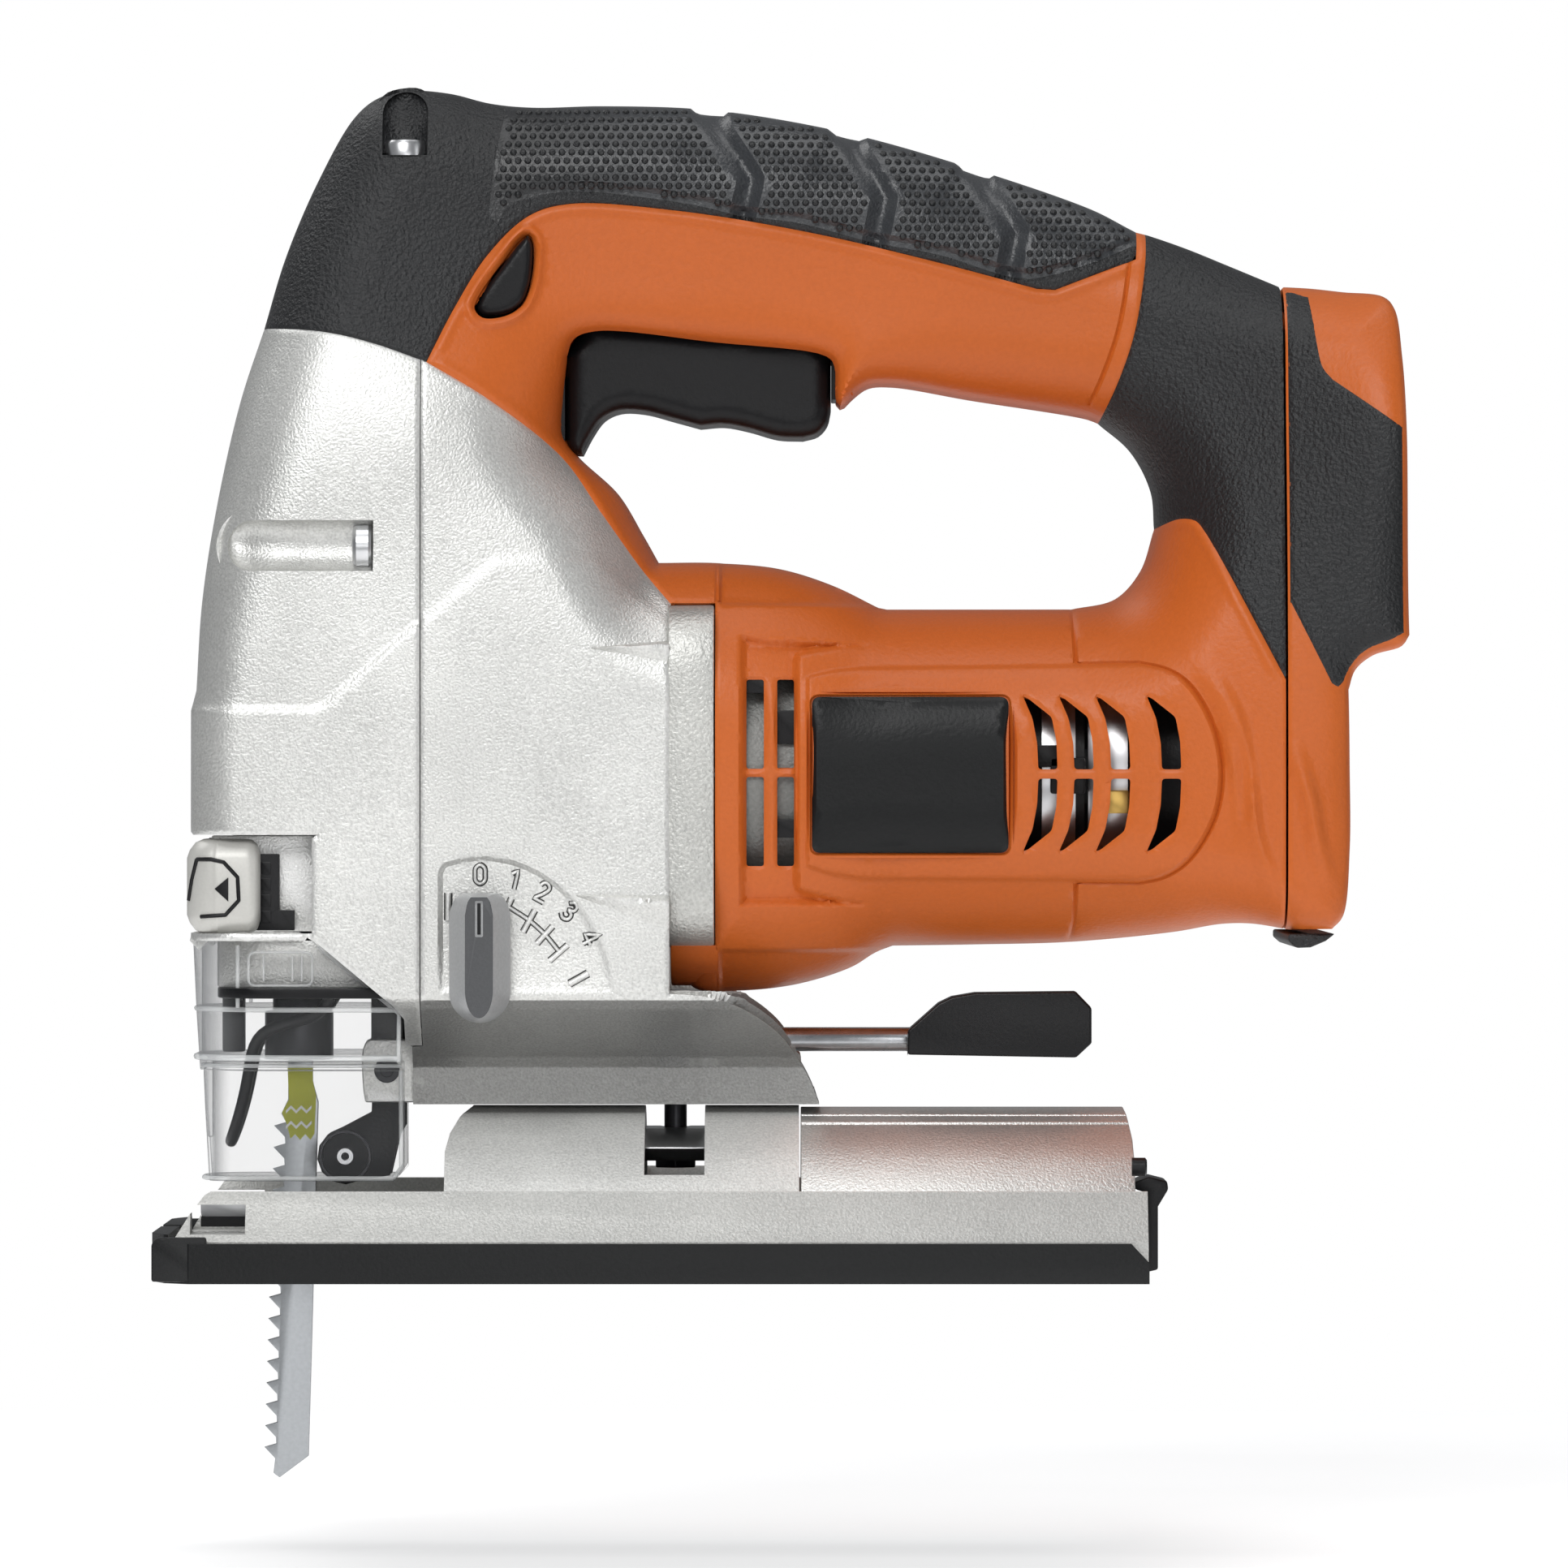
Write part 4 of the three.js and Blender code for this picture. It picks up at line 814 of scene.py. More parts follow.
LEVER_GREY = material("lever_paint", (196, 195, 190), 0.42, metal=0.25, grain=(2200, 0.3, 0.00005),
                      fleck=0.05)
KNOB = material("knob_plastic", (172, 173, 174), 0.36, metal=0.4, grain=(2000, 0.4, 0.00006), fleck=0.1)
# A darker copy of the knob plastic for its flat face: painted shade.
KNOB_FACE_PAINTED_SHADE = material("knob_face_painted_shade", (74, 75, 77), 0.34, metal=0.3, grain=(2000, 0.4, 0.00006), fleck=0.1)
# The guard's clear plastic, grey where its faces turn away: a painted reflection.
CLEAR = clear_plastic("clear_plastic", 0.045, 0.8, (0.42, 0.43, 0.44))
# Near-white clear plastic for the guard's beads: a painted highlight along its rims.
CLEAR_EDGE_HIGHLIGHT = clear_plastic("clear_edge_highlight", 0.35, 0.8, (0.9, 0.92, 0.92))


# ---------------------------------------------------------------- parting lines on the side
GRIP_TOP = smooth([(-68.7, 164.9), (-57.3, 163.8), (-48.9, 161.8), (-39.8, 158.6)])
THROAT = smooth([(-39.8, 158.6), (-29.3, 152.3), (-16.7, 142.5), (-9.7, 132.7), (-2.7, 122.9), (2.4, 116.8)])
GRIP_LOW = chain(
    smooth([(-39.8, 158.6), (-34.9, 168.4), (-29.3, 177.5), (-22.3, 184.2), (-15.3, 186.3), (2.9, 185.2),
            (26.7, 181.3), (47.7, 176.4),
            (65.9, 171.6)]),
    straight([(65.9, 171.6), (69, 171.4), (83.1, 176.8)]),
)
RING_FRONT = smooth([(83.4, 182), (83.1, 176.8), (81.2, 164.9), (78.2, 156), (75.2, 149.6)])
RING_BACK = smooth([(85, 181.6), (84.7, 176), (82.8, 164), (80, 155.5), (77, 148.9)])
REAR_LOW = chain(
    smooth([(86.9, 130.3), (90.5, 131.6), (93.2, 131.2), (95, 128.8)]),
    straight([(95, 128.8), (96.7, 125.7), (108.2, 103.6)]),
)
SIDES = (("left", -1), ("right", 1))


# ---------------------------------------------------------------- clamshell halves
def housing_region():
    return chain(
        between(TOP, (83.4, 182), (85, 181.6)),
        RING_BACK,
        between(HOLE, (77, 148.9), (0.1, 124.3), closed=True),
        between(HOLE, (0.1, 124.3), (86.9, 130.3), closed=True),
        REAR_LOW,
        straight([(108.2, 103.6), (108.2, 60.7)]),
        between(BOTTOM, (108.2, 60.7), (2.5, 55)),
        straight([(2.5, 55), (2.5, 57.2), (10.1, 57.2), (10.1, 117), (2.4, 117)]),
        THROAT[::-1],
        GRIP_LOW,
        RING_FRONT[RING_FRONT[:, 1] > 176.8][::-1],
    )


def crescent(x, upper):
    half = [(x, 100.8), (x + 0.9, 100.4), (x + 4.9, 97.2), (x + 5.7, 93), (x + 5.9, 88.2), (x + 2.6, 88.2),
            (x + 2.4, 92.7), (x + 1.6, 97)]
    if not upper:
        half = [(a, 174.8 - b) for a, b in half][::-1]
    return rounded(half, 0.6, 3)


def slot(x0, x1, z0, z1):
    return rounded(corners(x0, x1, z0, z1), 0.5, 3)


VENTS = [slot(15.5, 18.5, 88.3, 103.7), slot(15.5, 18.5, 71.5, 86.9), slot(20.8, 23.7, 88.3, 103.7),
         slot(20.8, 23.7, 71.5, 86.9)]
VENTS += [crescent(x, upper) for x in (63.2, 69.4, 75.7, 84.4) for upper in (True, False)]
LABEL_RIM = rounded(corners(26.3, 61.2, 73.3, 101.2), 1.9, 8)
UPPER_BULGE = chain(straight([(10.4, 116.4), (40.5, 116.4), (46, 128), (10.4, 128), (10.4, 116.4)]))
LOWER_BULGE = chain(straight([(10.4, 57.2), (10.4, 44), (46, 44), (41.5, 57.2), (10.4, 57.2)]))
FRONT_WELL = chain(
    straight([(14.1, 111.7), (19, 110.9)]),
    smooth([(19, 110.9), (34.9, 110.2), (41.5, 109.5)]),
    smooth([(41.5, 109.5), (35, 109.2), (29.6, 108.5), (24.9, 107.6)]),
    straight([(24.9, 107.6), (24.9, 67.9)]),
    smooth([(24.9, 67.9), (29.6, 66.6), (35, 65.5), (40.2, 64.6)]),
    straight([(40.2, 64.6), (14.1, 64.4), (14.1, 111.7)]),
)
BUTTON = smooth([(-31.6, 167.9), (-30.9, 170.3), (-27.2, 175.6), (-23.8, 180), (-22.3, 181), (-21.4, 179.6),
                 (-21.3, 176.2), (-21.9, 172),
                 (-23.4, 168.6), (-26.4, 166.7), (-30.2, 166.4)], closed=True, step=0.7)
PLATEAU = chain(
    smooth([(25.6, 104.4), (30, 105.5), (35.6, 106.1)]),
    straight([(35.6, 106.1), (83.1, 106.6)]),
    smooth([(83.1, 106.6), (88, 105.4), (91.7, 102.9), (95.7, 96.3), (97.4, 88.4), (96.3, 80.2),
            (91.7, 72.5), (87.4, 69.6), (83.1, 68.6)]),
    straight([(83.1, 68.6), (35.6, 68.9)]),
    smooth([(35.6, 68.9), (30, 69.8), (25.6, 71.2)]),
    straight([(25.6, 71.2), (25.6, 104.4)]),
)


def housing_marks(side):
    marks = [
        step_in(FRONT_WELL, 1.9, 1.5),
        step_in(PLATEAU, -0.9, 0.9),
        step_in(LABEL_RIM, 0.8, 0.35),
        step_in(UPPER_BULGE, 2.2, 0.9),
        step_in(LOWER_BULGE, 2.2, 0.9),
        groove(between(closed(PLATEAU), (72.5, 106.5), (72.5, 68.7)), 0.4, 0.45),
        groove(straight([(71.6, 58.2), (72.3, 62), (72.4, 68.4)]), 0.5, 0.8),
        groove(straight([(72.4, 106.8), (72.2, 116.1)]), 0.5, 0.8),
        groove(straight([(10.3, 117.5), (10.3, 124.2)]), 0.4, 0.6),
        groove(straight([(10.3, 49.7), (10.3, 56.6)]), 0.4, 0.6),
        groove(smooth([(93, 108), (98.5, 98), (101, 86), (102.5, 76), (107, 66)]), 2.8, -1.7, fade=14),
        groove(smooth([(97.5, 101), (100.5, 90), (101.5, 78), (104, 69)]), 1.8, 1.4, fade=12),
        groove(RING_FRONT[3:-3] - [1.1, 0], 0.45, 0.5),
        groove(offset(GRIP_LOW, -1.1)[4:-4], 1.0, -0.35),
        groove(offset(THROAT, 1.2)[3:-6], 1.1, -0.3),
        groove(offset(REAR_LOW, -1.2)[3:-3], 1.1, -0.35),
    ]
    if side < 0:
        marks += [groove(closed(offset(closed(BUTTON), 1.0)[:-1]), 1.0, -0.75)]
    return marks


def half_round(x0, x1, z, radius, depth, upright=False):
    """A half-round channel with a domed end at x0 and a square end at x1.
    It runs along X, or down Z if upright."""
    turn = 1 if x1 > x0 else -1

    def delta(q):
        q = q[:, ::-1] if upright else q
        across = np.clip(1 - ((q[:, 1] - z) / radius) ** 2, 0, 1)
        along = np.clip(turn * (q[:, 0] - x0) / radius, 0, 1)
        dome = np.clip(across - (1 - along) ** 2, 0, 1)
        return np.where(turn * (x1 - q[:, 0]) > 0, -depth * np.sqrt(dome), 0)

    cap = x0 + turn * radius
    dome = arc((cap, z), radius, 90, 270, 16) if turn > 0 else arc((cap, z), radius, 90, -90, 16)
    ring = chain(straight([(x1, z + radius), (cap, z + radius)]), dome,
                 straight([(cap, z - radius), (x1, z - radius)]))
    stops = [straight([(x1 + e, z - radius), (x1 + e, z + radius)], step=0.5) for e in (-0.1, 0.1)]
    lines = [closed(ring), *stops]
    return delta, [line[:, ::-1] for line in lines] if upright else lines, 0.3, False


SCREW_CHANNEL = half_round(206.3, 194.8, -43.8, 3.95, 4.4, upright=True)
LABEL_PLATE = rounded(corners(26.8, 60.7, 73.8, 100.7), 1.5, 8)
for tag, side in SIDES:
    holes = [*VENTS, *([BUTTON] if side < 0 else [])]
    verts, faces = panel(housing_region(), body_half, MIDDLE, holes, housing_marks(side), side)
    shell = thicken(make(f"{tag}_housing_shell", verts, faces, ORANGE), 2.6)
    own(shell, "tool_body", "orange_plastic", f"{tag}_housing")


# ---------------------------------------------------------------- grips
GRIP_REGION = chain(
    GRIP_TOP,
    GRIP_LOW[:-1],
    RING_FRONT[RING_FRONT[:, 1] > 176.8][::-1],
    between(TOP, (83.4, 182), (-68.7, 164.9)),
)
REAR_REGION = chain(
    RING_BACK,
    between(HOLE, (77, 148.9), (86.9, 130.3)),
    REAR_LOW,
    straight([(108.2, 103.6), (108.2, 172.3)]),
    between(TOP, (108.2, 172.3), (85, 181.6)),
)
PAD_LIFT, PAD_START, PAD_RUN = 0.9, -27, 16
PAD_LOW = chain(
    smooth([(-28.4, 183.4), (-26.4, 186.6), (-19.5, 188.9), (-11.8, 189.3), (-2.6, 188.4), (8.1, 186.7),
            (14.3, 185.2), (25, 183.8),
            (37.3, 180.6), (49.6, 178.2), (60.4, 174.8), (64.5, 174.2)]),
    smooth([(64.5, 174.2), (68.5, 174.9), (75.7, 177.2), (82.9, 180.3)]),
)
PAD_AREA = chain(
    PAD_LOW,
    straight([(82.9, 180.3), (86, 190), (86, 215), (-25, 215)]),
    smooth([(-25, 215), (-25.5, 203.6), (-27.2, 194), (-28.4, 183.4)]),
)
CHEVRONS = [
    chain(smooth([(x0, z0), (x1, z1), (x2, z2)]), straight([(x2, z2), (x3, z3)]))
    for (x0, z0), (x1, z1), (x2, z2), (x3, z3) in (
        ((7.6, 204.6), (11.2, 198.6), (16.3, 190.6), (14.8, 184.4)),
        ((31.8, 201), (35.0, 195), (39.4, 187.4), (37.9, 180.0)),
        ((54.2, 195), (57.6, 189), (62.2, 181.4), (60.9, 174.2)),
    )
]


DOT_PITCH, DOT_RADIUS, DOT_SIDES = 1.69, 0.66, 8
DOT_LEVELS = ((1, -0.12), (0.86, 0.26), (0.55, 0.42))
DOT_TOP = 0.46
EDGE_MARGIN, TOP_MARGIN = 0.85, 0.95


def dots(name, region, keep_out, side):
    """Raised dots in a honeycomb over part of a panel."""
    low, high = region.min(0), region.max(0)
    spots = []
    for j, z in enumerate(np.arange(low[1], high[1], DOT_PITCH * ROW_STEP)):
        for x in np.arange(low[0] + (j % 2) * DOT_PITCH / 2, high[0], DOT_PITCH):
            spots.append((x, z))
    q = np.array(spots)
    q = q[inside(q, region) & inside(q, GRIP_REGION)]
    q = q[gap(q, closed(region)) > EDGE_MARGIN]
    for line, width in keep_out:
        q = q[gap(q, line) > width]
    q = q[gap(q, TOP) > TOP_MARGIN]
    e = 0.15
    y = body_half(q) + pad_ramp(q)
    gx = (body_half(q + [e, 0]) - body_half(q - [e, 0])) / (2 * e)
    gz = (body_half(q + [0, e]) - body_half(q - [0, e])) / (2 * e)
    n = np.stack([-gx, np.ones(len(q)), -gz], 1)
    n /= np.linalg.norm(n, axis=1, keepdims=True)
    verts, faces = [], []
    for (x, z), h, (nx, ny, nz) in zip(q, y, n):
        normal = Vector((nx, side * ny, nz))
        a = normal.orthogonal().normalized()
        b = normal.cross(a)
        centre = Vector((x, side * h, z))
        start = len(verts)
        for share, up in DOT_LEVELS:
            for c, d in circle((0, 0), DOT_RADIUS * share, DOT_SIDES):
                verts.append(centre + a * c + b * d + normal * up)
        verts.append(centre + normal * DOT_TOP)
        level, turns = DOT_SIDES, [(k, (k + 1) % DOT_SIDES) for k in range(DOT_SIDES)]
        for ring in (start, start + level):
            faces += [(ring + k, ring + j, ring + level + j, ring + level + k) for k, j in turns]
        last = start + 2 * level
        faces += [(last + k, last + j, last + level) for k, j in turns]
        faces.append(tuple(start + k for k in reversed(range(level))))
    return make(name, verts, faces, RUBBER, sharp=60)


def pad_ramp(q):
    """The pad rises out of the skin over a stretch along X."""
    return PAD_LIFT * np.clip((q[:, 0] - PAD_START) / PAD_RUN, 0, 1)


def pad_rise(q):
    return pad_ramp(q) * np.clip(depth_inside(q, PAD_AREA) / PAD_LIFT, 0, 1)


PAD_TOP = inset(PAD_AREA, PAD_LIFT)
for tag, side in SIDES:
    marks = [(pad_rise, [closed(PAD_AREA)], PAD_LIFT, True), *[chevron(line, 2.4, 1.9) for line in CHEVRONS]]
    marks.append(SCREW_CHANNEL)
    verts, faces = panel(GRIP_REGION, body_half, SILHOUETTES, (), marks, side)
    shell = thicken(make(f"{tag}_grip_skin", verts, faces, RUBBER), 1.6)
    # Faces on the raised pad take the glossier rubber with the painted sheen.
    shell.data.materials.append(PAD_GLOSS_PAINTED_SHEEN)
    centres = np.array([tuple(poly.center) for poly in shell.data.polygons])[:, [0, 2]] / MM
    for poly, raised in zip(shell.data.polygons, inside(centres, PAD_TOP)):
        poly.material_index = int(raised)
    own(shell, "tool_body", "black_rubber", f"{tag}_grip")
    keep_out = [(line, 3.0) for line in CHEVRONS]
    own(dots(f"{tag}_grip_dots", PAD_TOP, keep_out, side), "tool_body", "black_rubber")

    verts, faces = panel(REAR_REGION, body_half, SILHOUETTES, (), [], side)
    shell = thicken(make(f"{tag}_rear_grip_skin", verts, faces, RUBBER), 1.6)
    own(shell, "tool_body", "black_rubber", f"{tag}_rear_grip")


# ---------------------------------------------------------------- nose cover and gear case
# Upper limit of the painted shade on the gear case's lower faces; a crease also runs along it.
SHADE_TOP = 48.4
FOOT = ((29.0, 9.6), (36.4, 10.6), (38.2, 12.4), (46.8, 27.6), (48.4, 29.3), (49.6, 29.8))


def head_half(q):
    foot = np.interp(q[:, 1], [z for z, _ in FOOT], [h for _, h in FOOT])
    foot = np.where(q[:, 1] > 49.5, 99, foot)
    return np.minimum(body_half(q, HEAD_EDGES), foot)


NOSE_BACK = -40.85
NOSE_GRIP = between(GRIP_TOP, (-68.7, 164.9), (-40.9, 159.2))
NOSE_LOW = chain(
    smooth([(-60.2, 59.2), (-58, 57.8)]),
    straight([(-58, 57.8), (-45.4, 47.3), (-43.7, 45), (-43.7, 40.3), (NOSE_BACK, 40.3)]),
)
TAB = (59.9, 76.9)
NOTCH = {-1: -59.4, 1: -76.6}
NOSE_SHEAR = chain(
    straight([(-95, 99.6), (-59.5, 99.2), (-57.5, 99.9)]),
    straight([(-57.5, 99.9), (-41, 114.5), (-30, 124), (-30, 30), (-95, 30)]),
)
CASE_SHEAR = chain(
    straight([(-60, 98), (-41, 114.5), (-28, 125.5), (-10, 126), (8, 110), (8, 90), (8, 60), (8, 20),
              (-60, 20)]),
)


def nose_region(side):
    x = NOTCH[side]
    z0, z1 = TAB
    front = between(NOSE_FRONT, (-68.7, 164.9), (-80.8, z1 + 0.5))
    notch = chain(
        straight([(-80.8, z1 + 0.5), (-80.2, z1), (x + 0.9, z1)]),
        straight([(x + 0.9, z1), (x, z1 - 0.6), (x, z0)]),
        straight([(x, z0), (-80.8, z0), (-80.8, 58.6), (-60.6, 58.6)]),
    )
    return chain(NOSE_GRIP[::-1], front, notch, NOSE_LOW, straight([(NOSE_BACK, 40.3), (NOSE_BACK, 159.2)]))


def case_region():
    return chain(
        straight([(-40.7, 159.1), (-40.7, 40.2), (-42.6, 40), (-42.6, 29.9), (28.1, 29.9)]),
        smooth([(28.1, 29.9), (26.6, 33.8), (24.6, 37.5), (21.1, 42.4), (14.8, 46.9), (8.5, 49),
                (2.2, 49.5)]),
        straight([(2.2, 49.5), (2.2, 116.9)]),
        THROAT[::-1],
    )


CASE_MID = [
    straight([(-42.6, 40), (-42.6, 29.9), (28.1, 29.9)]),
    smooth([(28.1, 29.9), (26.6, 33.8), (24.6, 37.5), (21.1, 42.4), (14.8, 46.9), (8.5, 49), (2.2, 49.5)]),
]
FAN_DEPTH, FAN_EDGE = 0.75, 0.9
FAN = chain(
    straight([(-37.7, 49.4), (-37.7, 70.2)]),
    smooth([(-37.7, 70.2), (-37, 71.8), (-35, 72.6), (-30.4, 73.3), (-25.3, 72.7), (-19.8, 70.4),
            (-14.6, 66.3), (-10.7, 60.9), (-8.3, 55.2),
            (-7.3, 49.4)]),
    straight([(-7.3, 49.4), (-37.7, 49.4)]),
)


def fan_mark(q):
    """A sunken fan that fades out towards its foot and its back."""
    fade = np.clip((q[:, 1] - 49.6) / 8, 0, 1) * np.clip((-4 - q[:, 0]) / 12, 0, 1)
    t = np.clip(depth_inside(q, FAN) / FAN_EDGE, 0, 1)
    return -FAN_DEPTH * t * t * (3 - 2 * t) * np.sqrt(fade)


CREST = 0.82


def wedge(tip, top, low, lift):
    """A crisp tapering dent whose upper edge is sharp and whose floor climbs back to the surface."""
    (x0, z0), (x1, z1), (x2, z2) = tip, top, low

    def delta(q):
        t = np.clip((q[:, 0] - x0) / (x1 - x0), 0, 1)
        a = z0 + (z1 - z0) * t
        b = z0 + (z2 - z0) * t
        s = np.clip((q[:, 1] - b) / np.where(np.abs(a - b) < 1e-3, 1e-3, a - b), 0, 1)
        rise = np.where(s < CREST, s / CREST, (1 - s) / (1 - CREST))
        within = (q[:, 0] > min(x0, x1)) & (q[:, 0] < max(x1, x2) + 0.5)
        return np.where(within, lift * rise * np.sqrt(t), 0)

    line_a, line_b = straight([tip, top], step=0.5), straight([tip, low], step=0.5)
    return delta, [line_a, line_b, line_a], 0.5, False


CASE_RISE = step_in(CASE_SHEAR, -0.4, 2.2)
for tag, side in SIDES:
    marks = [half_round(-74.2, -48.9, 126.8, 4.4, 3.6), step_in(NOSE_SHEAR, -0.55, 1.3)]
    mid = [NOSE_FRONT[(NOSE_FRONT[:, 1] > TAB[1] + 0.4)], straight([(-80.8, 59.9), (-80.8, 58.6)])]
    verts, faces = panel(nose_region(side), head_half, mid, (), marks, side, part=0.0)
    shell = thicken(make(f"{tag}_nose_shell", verts, faces, SILVER), 2.4)
    own(shell, "tool_body", "silver_paint", "nose_cover")

    marks = [(fan_mark, [closed(FAN)], FAN_EDGE, False), CASE_RISE]
    marks += [wedge((-12.2, 109.2), (1.9, 110.4), (1.9, 106.8), 2.4)]
    marks += [wedge((-14.5, 66.6), (1.9, 66.5), (1.9, 60.6), 2.0)]
    marks += [crease(straight([(-80, z), (40, z)])) for z in (36.4, 46.8, 38.2, SHADE_TOP)]
    verts, faces = panel(case_region(), head_half, CASE_MID, (), marks, side, part=0.0)
    shell = thicken(make(f"{tag}_case_shell", verts, faces, SILVER), 2.6)
    # Faces below SHADE_TOP take the darker copy: painted shade under the overhang.
    shell.data.materials.append(FOOT_PAINTED_SHADE)
    for poly in shell.data.polygons:
        poly.material_index = int(poly.center.z < SHADE_TOP * MM)
    if side < 0:
        CASE_FACE = shell
    own(shell, "tool_body", "silver_paint", "gear_case")

floor_plan = chain(
    smooth([(-77.6, -14), (-76.5, -21), (-72, -26.2), (-66, -27)]),
    straight(corners(-66, -41, -27, 27)),
    smooth([(-66, 27), (-72, 26.2), (-76.5, 21), (-77.6, 14)]),
)
nose_floor = put("nose_floor", prism(floor_plan * 0.985, "z", 48.6, 50.4), BLACK, bevel=0.3)
carve(nose_floor, put("plunger_hole", lathe([(40, 11.5), (62, 11.5)], "z", (-62.9, 0), 40), BLACK))
skirt_plan = floor_plan * [0.975, 0.79] - [1.0, 0]
skirt = put("nose_skirt", prism(skirt_plan, "z", 50.4, 58.6), SILVER, bevel=0.3)
carve(skirt, put("skirt_room", prism(corners(-72, -35, -19.5, 19.5), "z", 45, 62), SILVER))
own(skirt, "tool_body", "silver_paint", "nose_cover")
# Black plates behind the clear hood, darkening the view through it: painted shade.
shade_plates = [put("shade_plate", block(x0, x1, 38.8, 49, -3, 3), BLACK, bevel=0.5)
           for x0, x1 in ((-76.2, -72.4), (-50.2, -43.2))]
own(join("hood_shade_plates", shade_plates), "tool_body", "black_plastic")
own(nose_floor, "tool_body", "black_plastic", "nose_cover")

collar_outline = straight(rounded(corners(-29.5, 29.5, 57.3, 116.8), 12, 12), closed=True, step=2)
collar = put("case_collar", prism(collar_outline, "x", 2.0, 9.9), CAST, bevel=0.5)
own(collar, "tool_body", "cast_alloy", "gear_case")


# ---------------------------------------------------------------- screws in the nose and the grip
for tag, side in SIDES:
    bm = lathe([(-52.6, 2.2), (-52.4, 3.2), (-51.8, 3.75), (-49.7, 3.75), (-49.2, 3.3), (-49.2, 1)], "x",
               (side * 25.9, 126.8), 40)
    own(put(f"{tag}_nose_bolt", bm, CHROME), "tool_body", "steel", f"{tag}_nose_screw")
    bm = lathe([(194.7, 2), (194.7, 3.7), (196.7, 3.75), (197.4, 3.3), (197.6, 1.6), (196.6, 1.5)], "z",
               (-43.75, side * 14.6), 40)
    own(put(f"{tag}_top_bolt", bm, CHROME), "tool_body", "steel", f"{tag}_top_screw")


# ---------------------------------------------------------------- battery mount
MOUNT_REGION = chain(
    straight([(108.6, 60.6), (108.6, 171.9)]),
    between(MOUNT_BACK, (109.4, 172.2), (116.4, 60.7)),
    straight([(116.4, 60.7), (108.6, 60.6)]),
)
MOUNT_TOP = between(MOUNT_BACK, (109.2, 172.3), (127.3, 168.4))
PAD = chain(
    straight([(109.0, 171.3), (109.0, 116.9)]),
    straight([(109.0, 116.9), (116.0, 102.9)]),
    smooth([(116.0, 102.9), (117.2, 102.3), (118.1, 103.2)]),
    smooth([(118.1, 103.2), (119.6, 106.3), (122.4, 108.9), (126.3, 110.4), (128.5, 111.6)]),
    straight([(128.5, 111.6), (128.3, 147)]),
    straight([(128.3, 147), (116.6, 155.4)]),
    smooth([(116.6, 155.4), (115, 157.4), (114.2, 160.5), (112.9, 170.1)]),
    straight([(112.9, 170.1), (109.0, 171.3)]),
)
for tag, side in SIDES:
    marks = [groove(smooth([(109, 94), (112, 84), (114, 74), (116.5, 67)]), 2.2, -1.3, fade=10)]
    verts, faces = panel(MOUNT_REGION, body_half, [MOUNT_TOP], (), marks, side, part=0.0)
    own(thicken(make(f"{tag}_mount_shell", verts, faces, ORANGE), 4.0), "tool_body", "orange_plastic",
        "battery_mount")
    verts, faces = panel(PAD, lambda q: body_half(q) + 0.3, (), (), [], side)
    own(thicken(make(f"{tag}_mount_grip", verts, faces, RUBBER), 1.2), "tool_body", "black_rubber",
        f"{tag}_mount_pad")
z = np.linspace(60.5, 165, 40)
half = np.minimum(*(body_half(np.stack([np.full(40, x), z], 1)) for x in (109.2, 112.6))) - 1.6
outline = np.vstack([np.stack([-half, z], 1), np.stack([half, z], 1)[::-1]])
wall = put("battery_wall", prism(outline, "x", 109.0, 112.5), ORANGE, bevel=0.3)
opening = corners(-13.3, 13.3, 117.7, 152.3)
carve(wall, put("terminal_hole", prism(opening, "x", 100, 120), ORANGE))
own(wall, "tool_body", "orange_plastic", "battery_mount")
for tag, side in SIDES:
    y0, y1 = sorted((side * 27.5, side * 31.2))
    plan = rounded(corners(112.4, 117.5, y0, y1), 0.6, 3)
    rail = put(f"{tag}_battery_rail", prism(plan, "z", 66, 136), ORANGE, bevel=0.4)
    y2, y3 = sorted((side * 26, side * 29.4))
    plan = corners(113.8, 115.6, y2, y3)
    carve(rail, put("undercut", prism(plan, "z", 50, 150), ORANGE))
    own(rail, "tool_body", "orange_plastic", "battery_mount")


# ---------------------------------------------------------------- label plates
for tag, side in SIDES:
    verts, faces = panel(LABEL_PLATE, lambda q: body_half(q) + 1.0, (), (), [], side)
    own(thicken(make(f"{tag}_label_plate", verts, faces, SATIN), 0.9), "tool_body", "black_plastic",
        f"{tag}_label")


# ---------------------------------------------------------------- refined small parts
BODY_OF = {n: b for b, members in frame["record"]["behaviour"]["bodies"].items() for n in members}
SLOT_OF = {s["node"]: s["material_slot"] for s in frame["record"]["subparts"]}
SLOT_LOOK = {
    "orange_plastic": ORANGE, "black_rubber": RUBBER, "black_plastic": BLACK, "silver_paint": SILVER,
    "cast_alloy": CAST,
    "steel": STEEL, "pressed_steel": CHROME, "brass": BRASS, "copper": COPPER, "clear_plastic": CLEAR,
    "board_green": BOARD,
}
for name, obj in frame["nodes"].items():
    obj.data.materials.clear()
    obj.data.materials.append(SLOT_LOOK[SLOT_OF[name]])

